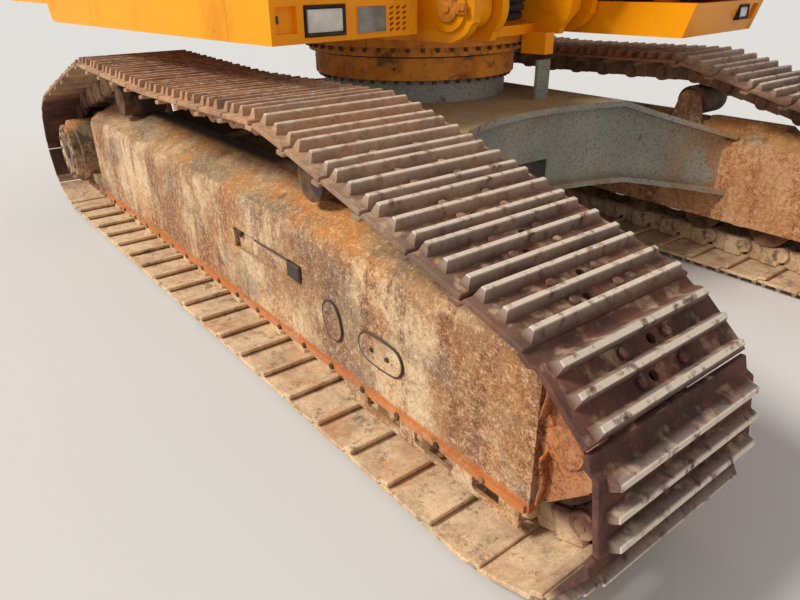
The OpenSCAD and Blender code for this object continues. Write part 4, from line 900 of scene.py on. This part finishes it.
def boom_point(t, rise=0.0, y=0.0):
    """Point that lies rise above the boom's back, t of the way from foot to head."""
    mid = 2 * t * (1 - t) * BOOM_BEND + t * t * BOOM_HEAD
    run = ((1 - t) * BOOM_BEND + t * (BOOM_HEAD - BOOM_BEND)).normalized()
    for (t0, h0), (t1, h1) in zip(BOOM_HALF, BOOM_HALF[1:]):
        if t0 <= t <= t1:
            off = rise + h0 + (h1 - h0) * (t - t0) / (t1 - t0)
    return shifted(BOOM_FOOT + turned(mid.x - off * run.y, mid.y + off * run.x, BOOM_REST), y)


def stick_point(x, z, y=0.0):
    """Point of the stick: x from its pivot towards the bucket, z to its outer side."""
    return shifted(STICK_PIVOT + turned(x, z, STICK_ANGLE), y)


# Pins of the arm: name, body that carries them, place, radius and half the width that they hold together
ARM_PINS = (
    ("boom_foot", "upper", BOOM_FOOT, 0.075, 0.375),
    ("ram_foot", "upper", Vector((DECK_X + 0.62, 0, 1.48)), 0.066, 0.540),
    ("boom_ram", "boom_rods", BOOM_FOOT + turned(2.54, 1.06, BOOM_REST), 0.062, 0.445),
    ("stick_pivot", "stick", STICK_PIVOT, 0.085, 0.260),
    ("rocker_pin", "stick", stick_point(2.49, 0.04), 0.062, 0.282),
    ("bucket_foot", "stick", stick_point(0.15, 0.56), 0.058, 0.109),
    ("stick_ram_foot", "boom", BOOM_FOOT + turned(3.30, 1.68, BOOM_REST), 0.064, 0.116),
)


def pin_cap(place, radius, y):
    """End of a pin at y: round cap, lock plate and two bolts, within 30 mm of the side."""
    def spot(away, out):
        return place.x + radius * away, y + math.copysign(out, y), place.z

    bolts = [drum(0.013, 0.012, spot(away, 0.017), "Y", 6, 0.002) for away in (1.25, 1.6)]
    return [drum(radius, 0.014, spot(0, 0.006), "Y", 28, 0.004),
            drum(radius * 0.35, 0.010, spot(0, 0.016), "Y", 12, 0.003),
            brick((radius * 1.7, 0.012, 0.055), spot(0.9, 0.006), 0.004)] + bolts


def arm_pins():
    for name, body, place, radius, half in ARM_PINS:
        caps = joined(pin_cap(place, radius, half) + pin_cap(place, radius, -half))
        put_in("greasy_yellow", caps, name + "_caps", body)


# Hydraulic lines of the boom: two pipes a side, held by clamps
PIPE_START, PIPE_SPAN, PIPE_STEPS = 0.10, 0.83, 14
PIPE_RISE = 0.030
PIPE_YS = (0.155, 0.200)
CLAMP_Y = 0.1775
CLAMPS_AT = (0.16, 0.26, 0.36, 0.56, 0.68, 0.80, 0.90)


def lying(place, start, end):
    """Moves what is built along X to the place, laid along the line from start to end."""
    turn = (end - start).normalized().to_track_quat("X", "Z").to_matrix().to_4x4()
    return Matrix.Translation(place) @ turn


def foot_hose(side, y, name):
    """Hose from the deck to the start of a pipe, and its fitting there."""
    low = boom_point(PIPE_START, PIPE_RISE, side * y)
    behind = low - boom_point(0.13, PIPE_RISE, side * y)
    route = [(DECK_X + x, side * (y - inward), z) for x, inward, z in
             ((-0.34, 0.05, 1.50), (-0.36, 0.04, 1.90), (-0.22, 0.02, 2.36), (0.06, 0, 2.66))]
    route += [low + behind * 1.2 + Vector((0, 0, 0.05)), low]
    hose = dressed(named(tube(route, 0.017), "foot_hose_" + name), HOSE)
    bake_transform(hose)
    cuff = drum(0.022, 0.05, (0, 0, 0), "X", 8, 0.004)
    cuff.data.transform(lying(low, boom_point(PIPE_START, PIPE_RISE), boom_point(0.13, PIPE_RISE)))
    put(cuff, "foot_fitting_" + name, BOLT_STEEL, "boom")


def pipe_clamps(side):
    clamp = joined([brick((0.05, 0.105, 0.020), (0, 0, 0.016), 0.004),
                    drum(0.012, 0.012, (0, 0, 0.030), "Z", 6, 0.002)])
    return joined(copies(clamp, [lying(boom_point(t, PIPE_RISE, side * CLAMP_Y), boom_point(t - 0.01),
                                       boom_point(t + 0.01)) for t in CLAMPS_AT]))


def head_hose(side, name):
    """Hose from the end of a pipe round the stick's head, and its fitting on the stick."""
    y = side * PIPE_YS[0]
    top = boom_point(PIPE_START + PIPE_SPAN, PIPE_RISE, y)
    route = [top, top + Vector((0.22, 0, 0.03)), stick_point(-0.42, 0.16, y) + Vector((0, 0, 0.14))]
    route += [stick_point(x, z, side * off) for x, z, off in
              ((-0.22, 0.50, 0.145), (0.02, 0.57, 0.140), (0.26, 0.52, 0.138), (0.40, 0.425, 0.138))]
    hose = dressed(named(tube(route, 0.015), "head_hose_" + name), HOSE)
    tuple(stick_point(-0.10, 0.50))
    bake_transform(hose)
    foot = drum(0.024, 0.05, tuple(stick_point(0.385, 0.437, side * 0.138)), "X", 8, 0.004)
    put(foot, "head_fitting_" + name, BOLT_STEEL, "stick")


def boom_lines():
    """Steel pipes along the back of the boom with their clamps, and hoses at its foot and head."""
    for side, word in SIDES:
        letter = word[0]
        for row, y in enumerate(PIPE_YS):
            route = [boom_point(PIPE_START + PIPE_SPAN * k / PIPE_STEPS, PIPE_RISE, side * y)
                     for k in range(PIPE_STEPS + 1)]
            name = "%s%d" % (letter, row)
            put_in("yellow_paint", tube(route, 0.013), "boom_pipe_" + name, "boom")
            foot_hose(side, y, name)
        put(pipe_clamps(side), "boom_clamps_" + letter, BLACK, "boom")
        head_hose(side, letter)


# Cab: window seals as X, then Y and Z from and to
WINDOW_SEALS = ((CAB_FRONT_X - 0.045, (0.68, 1.35), (1.715, 2.195)), (DECK_X - 0.522, (0.72, 1.31), (2.26, 2.99)))


def cab_trim():
    """Seals, wiper and grab rail."""
    seals = []
    for x, (y0, y1), (z0, z1) in WINDOW_SEALS:
        corners = [Vector(corner) for corner in ((x, y0, z0), (x, y1, z0), (x, y1, z1), (x, y0, z1))]
        path = [a.lerp(b, share) for a, b in zip(corners, corners[1:] + corners[:1])
                for share in (0.04, 0.35, 0.65, 0.96)]
        seals.append(tube(path, 0.008, closed=True, sides=1, steps=3))
    put(joined(seals), "window_seals", HOSE, "upper")
    x = CAB_FRONT_X
    arm = tube([(x - 0.02, 1.33, 2.27), (x - 0.075, 1.20, 2.45), (x - 0.14, 1.05, 2.66)], 0.006, sides=1)
    blade = tube([(x - 0.075, 0.80, 2.42), (x - 0.15, 0.92, 2.68), (x - 0.225, 1.04, 2.94)], 0.007, sides=1)
    boss = drum(0.018, 0.04, (x - 0.015, 1.33, 2.27), "X", 16, 0.004)
    put(joined([arm, blade, boss]), "wiper", BLACK, "upper")
    rail = tube([(DECK_X + 0.10, y, z) for y, z in
                 ((1.435, 1.85), (1.475, 1.90), (1.478, 2.2), (1.475, 2.55), (1.435, 2.60))], 0.012)
    put_in("rail_black", rail, "grab_rail", "upper")


# Seat: place of its foot, and for each pad its size, place, lean in degrees, crown and bolster
SEAT = Vector((DECK_X + 0.15, 1.015, 1.5603))
SEAT_PADS = (
    ("seat_cushion", (0.52, 0.50, 0.12), (0.035, 0, 0.395), 0, 0.012, 0.022),
    ("seat_back", (0.60, 0.46, 0.11), (-0.215, 0, 0.775), -80.5, 0.010, 0.024),
    ("seat_head", (0.19, 0.25, 0.07), (-0.312, 0, 1.185), -83, 0.008, 0.0),
)
SEAM_V, SEAM_U = 0.55, 0.35
BELLOWS_FOLDS = 5


def cushion(size, crown, bolster):
    """Pad about the origin: its top bulges by crown, its side edges rise by bolster, and its rims are rounded."""
    pad = brick(size, (0, 0, 0), min(size) * 0.28, 3)
    modifier = pad.modifiers.new("rounds", "SUBSURF")
    modifier.levels = modifier.render_levels = 2
    pick(pad)
    bpy.ops.object.modifier_apply(modifier="rounds")
    for point in pad.data.vertices:
        u, v = abs(2 * point.co.x / size[0]), abs(2 * point.co.y / size[1])
        if point.co.z > 0:
            rise = (crown * (1 - v * v) + bolster * max(0, v - SEAM_V) / (1 - SEAM_V)) * (1 - u * u)
            seam = 0.006 * max(0, 1 - abs(v - SEAM_V) / 0.04)
            if v < SEAM_V:
                seam += 0.004 * max(0, 1 - abs(u - SEAM_U) / 0.05)
            point.co.z += rise - seam
    return pad


def seat_point(x, y, z):
    return SEAT + Vector((x, y, z))


def seat_pieces():
    parts = [brick((0.36, 0.32, 0.05), seat_point(0.05, 0, 0.025), 0.01)]
    for k in range(BELLOWS_FOLDS):
        fold = 0.02 * (k % 2)
        parts.append(brick((0.33 - fold, 0.30 - fold, 0.045), seat_point(0.05, 0, 0.07 + 0.045 * k), 0.012))
    parts.append(brick((0.40, 0.40, 0.05), seat_point(0.04, 0, 0.305), 0.012))
    base = put_in("dark_plastic", joined(parts), "seat_base", "upper")
    for name, size, place, lean, crown, bolster in SEAT_PADS:
        pad = cushion(size, crown, bolster)
        pad.data.transform(turned_about(seat_point(*place), lean, "Y"))
        put_in("seat_fabric", pad, name, "upper", 60)
    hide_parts("seat")
    boots = [drum(0.038 - 0.008 * k, 0.018, seat_point(0.32, side * 0.31, 0.568 + 0.016 * k),
                  "Z", 20, 0.006) for side in (-1, 1) for k in range(3)]
    put(joined(boots), "lever_boots", HOSE, "upper")
    screen = brick((0.004, 0.15, 0.16), seat_point(0.759, -0.27, 0.80), 0.001)
    put_in("window_glass", screen, "screen_face", "upper")


# Housing: X and side of each door's handle, grip strips, and tail lamps on the counterweight's round rear face
HANDLES = {"door_right": (-1.36, -1), "door_left_rear": (-1.54, 1), "door_left_front": (-0.63, 1)}
HANDLE_Z = 2.02
TAIL_RADIUS = 3.447
TAIL_LAMP_TURN = 10.35
BALLAST_BOLT_R = 0.022


def housing_details():
    for body, (x, side) in HANDLES.items():
        x += DECK_X
        parts = [brick((0.045, 0.008, 0.13), (x, side * (HALF_W + 0.003), HANDLE_Z), 0.003),
                 brick((0.020, 0.018, 0.085), (x, side * (HALF_W + 0.012), HANDLE_Z), 0.004),
                 drum(0.011, 0.008, (x, side * (HALF_W + 0.009), HANDLE_Z - 0.045), "Y", 12, 0.002)]
        put(joined(parts), "latch_" + body, BLACK, body)
    strips = [brick((0.05, 0.55, 0.006), (DECK_X + x, -1.05, 2.3425), 0.002) for x in (-1.10, -0.98, -0.50, -0.42)]
    strips += [brick((0.06, 0.50, 0.006), (DECK_X + x, -1.10, 1.9625), 0.002) for x in (-0.25, -0.10, 0.05, 0.20)]
    put(joined(strips), "grip_strips", HOSE, "upper")
    cap = joined([drum(0.088, 0.022, (DECK_X - 0.70, -1.15, 2.438), "Z", 32, 0.006),
                  brick((0.03, 0.16, 0.018), (DECK_X - 0.70, -1.15, 2.455), 0.005)])
    put(cap, "fuel_cap", BLACK, "upper")
    for side, name in SIDES:
        lens = framed((0.018, 0.05, 0.11), (-TAIL_RADIUS, 0, 1.72), 0.006, -0.002, (-1, 0, 0))
        swing = turned_about((DECK_X, 0, 0), -side * TAIL_LAMP_TURN, "Z")
        put(place_on(lens, swing), "tail_lamp_" + name[0], RED_LENS, "upper")
    bolts = [drum(BALLAST_BOLT_R, 0.016, (DECK_X - x, y, 2.623), "Z", 6, BALLAST_BOLT_R * 0.18)
             for x in (2.62, 3.05) for y in (-1.0, -0.35, 0.35, 1.0)]
    put(joined(bolts), "ballast_bolts", BOLT_STEEL, "upper")
    flap = joined([drum(0.074, 0.006, (DECK_X - 1.90, -0.85, 3.012), "Z", 24, 0.002),
                   drum(0.010, 0.05, (DECK_X - 1.975, -0.85, 3.008), "Y", 10, 0.002)])
    put_in("dark_steel", flap, "exhaust_flap", "hood")


# Track frame details, in the track's own frame.
# Wear plates: place, height, turn about Z and lean about X in degrees
WEAR_PLATES = (((2.288, 0.166, 0.655), 0.17, -24, 4), ((2.290, 0.160, 0.360), 0.19, -32, -6))
# Patches: X, Z, straight length and lean in degrees; their round ends share one radius
PATCHES = ((1.260, 0.434, 0.050, 70), (1.565, 0.428, 0.140, 0))
PATCH_R = 0.055
PATCH_BOLTS_X = (1.52, 1.61)
# Torn edges of the recess: size, place and bevel
TORN_EDGES = (((0.10, 0.020, 0.070), (0.965, 0.1915, 0.535), 0.006),
              ((0.30, 0.012, 0.012), (0.78, 0.196, 0.575), 0.004),
              ((0.05, 0.016, 0.030), (0.47, 0.192, 0.560), 0.006))
GUARD_WINDOWS = ((1.46, 1.66), (1.74, 1.94), (2.03, 2.17))
RAIL_BOLTS_X = [-1.9 + 0.21 * k for k in range(20)]
HUB_FACE_Y, HUB_BOLT_RING, HUB_BOLTS = 0.297, 0.165, 12
ROLLER_SPAN, ROLLER_COUNT = 3.3, 9


def wear_plates():
    """Bent wear plates at the frame's front corner."""
    plates = []
    for place, height, turn, lean in WEAR_PLATES:
        plate = brick((0.012, 0.088, height), (0, 0, 0), 0.004)
        edit()
        bpy.ops.mesh.subdivide(number_cuts=4)
        mode("OBJECT")
        for point in plate.data.vertices:
            bow = 7.2 * point.co.y ** 2 * (1 if point.co.y < 0 else -1)
            point.co.x += bow + 0.006 * math.sin(40 * point.co.z + place[0] * 9)
        tilt = turned_about(place, turn, "Z") @ Matrix.Rotation(math.radians(lean), 4, "X")
        plates.append(place_on(plate, tilt))
    return joined(plates)


def patch_welds():
    """Weld beads round the patches, bolts on the larger one and torn edges of the recess."""
    welds = []
    for x, z, length, lean in PATCHES:
        turn = turned_about((x, 0.2045, z), lean, "Y")
        outline = [turn @ (Vector((end * length / 2, 0, 0)) + turned(PATCH_R, 0, math.radians(low + 30 * k)))
                   for end, low in ((1, -90), (-1, 90)) for k in range(7)]
        welds.append(tube(outline, 0.0055, closed=True, sides=1, steps=2))
    welds += [drum(0.010, 0.010, (x, 0.210, 0.428), "Y", 12, 0.002) for x in PATCH_BOLTS_X]
    return joined(welds + [brick(*edge) for edge in TORN_EDGES])


def guide_guard():
    """Guide guard under the rail, with its windows."""
    guard = brick((0.86, 0.014, 0.100), (1.80, 0.185, 0.171))
    for x0, x1 in GUARD_WINDOWS:
        cut_out(guard, brick((x1 - x0, 0.06, 0.062), ((x0 + x1) / 2, 0.186, 0.174), 0.012))
    return guard


def frame_bolts():
    """Bolts along the rail and round the drive's cover, and the cover's plug."""
    hub = Vector((-WHEEL_X, HUB_FACE_Y, WHEEL_Z))
    bolts = [drum(0.014, 0.012, (x, 0.214, 0.229), "Y", 6, 0.003) for x in RAIL_BOLTS_X]
    bolts += [drum(0.015, 0.014, hub + turned(HUB_BOLT_RING, 0, 2 * math.pi * k / HUB_BOLTS), "Y", 6, 0.003)
              for k in range(HUB_BOLTS)]
    return joined(bolts + [drum(0.045, 0.012, hub, "Y", 20, 0.004)])


def roller_rims():
    """Rims at both ends of the track rollers."""
    rims = [drum(0.055, 0.016, (ROLLER_SPAN * (k / (ROLLER_COUNT - 1) - 0.5), y, 0.2893), "Y", 20, 0.004)
            for k in range(ROLLER_COUNT) for y in (-0.13, 0.13)]
    return joined(rims)


def frame_details():
    for side, name in SIDES:
        for build, slot in ((wear_plates, "rusty_paint"), (patch_welds, "dark_steel"), (guide_guard, "rusty_paint"),
                            (frame_bolts, "worn_track_steel"), (roller_rims, "worn_track_steel")):
            put_in(slot, place_on(build(), on_track(side)), build.__name__ + "_" + name, "undercarriage")


# Bucket: tooth pins and side bolts, placed from the bucket's pin
TOOTH_COUNT, TOOTH_SPAN, TOOTH_HALF_W = 5, 1.40, 0.056
TOOTH_PIN = (1.626, -0.222)
SIDE_BOLTS = ((1.35, 0.25), (1.43, 0.10), (1.50, -0.03))
BUCKET_SIDE_Y = 0.771


def bucket_details():
    def spot(x, z, y):
        return shifted(stick_point(STICK_L, 0) + turned(x, z, BUCKET_ANGLE), y)

    parts = [drum(0.016, 0.016, spot(*TOOTH_PIN, TOOTH_SPAN * (k / (TOOTH_COUNT - 1) - 0.5) + side * TOOTH_HALF_W),
                  "Y", 12, 0.003) for k in range(TOOTH_COUNT) for side in (-1, 1)]
    parts += [drum(0.020, 0.022, spot(x, z, side * BUCKET_SIDE_Y), "Y", 6, 0.004)
              for side in (-1, 1) for x, z in SIDE_BOLTS]
    put(joined(parts), "bucket_bolts", BOLT_STEEL, "bucket")


# Floor, backdrop and light
SKY_TINT, SKY_STRENGTH = (0.93, 0.95, 1.0, 1), 0.58
SUN_TINT, SUN_STRENGTH = (1.0, 0.97, 0.92), 3.1
SUN_SPREAD = math.radians(14)
SUN_TOWARDS = Vector((0.46, 0.78, -0.86))


def make_stage():
    deselect()
    bpy.ops.mesh.primitive_plane_add(size=400, location=(0, 0, 0))
    floor = bpy.context.object
    floor.name = "floor"
    floor.data.materials.append(Surface("floor", (206, 204, 200)).finish(0.9))
    world = bpy.data.worlds.new("studio")
    bpy.context.scene.world = world
    world.use_nodes = True
    background = world.node_tree.nodes["Background"]
    background.inputs["Color"].default_value = SKY_TINT
    background.inputs["Strength"].default_value = SKY_STRENGTH
    sun = bpy.data.lights.new("sun", "SUN")
    sun.energy = SUN_STRENGTH
    sun.angle = SUN_SPREAD
    sun.color = SUN_TINT
    lamp = bpy.data.objects.new("sun", sun)
    bpy.context.scene.collection.objects.link(lamp)
    lamp.rotation_euler = SUN_TOWARDS.to_track_quat("-Z", "Y").to_euler()


make_camera()
make_stage()
for track in SIDES:
    make_track(*track)
ring_bolts()
ring_seal()
swivel_hoses()
frame_details()
front_lamps()
arm_pins()
boom_lines()
cab_trim()
seat_pieces()
housing_details()
bucket_details()

bpy.context.scene.view_settings.view_transform = "Standard"
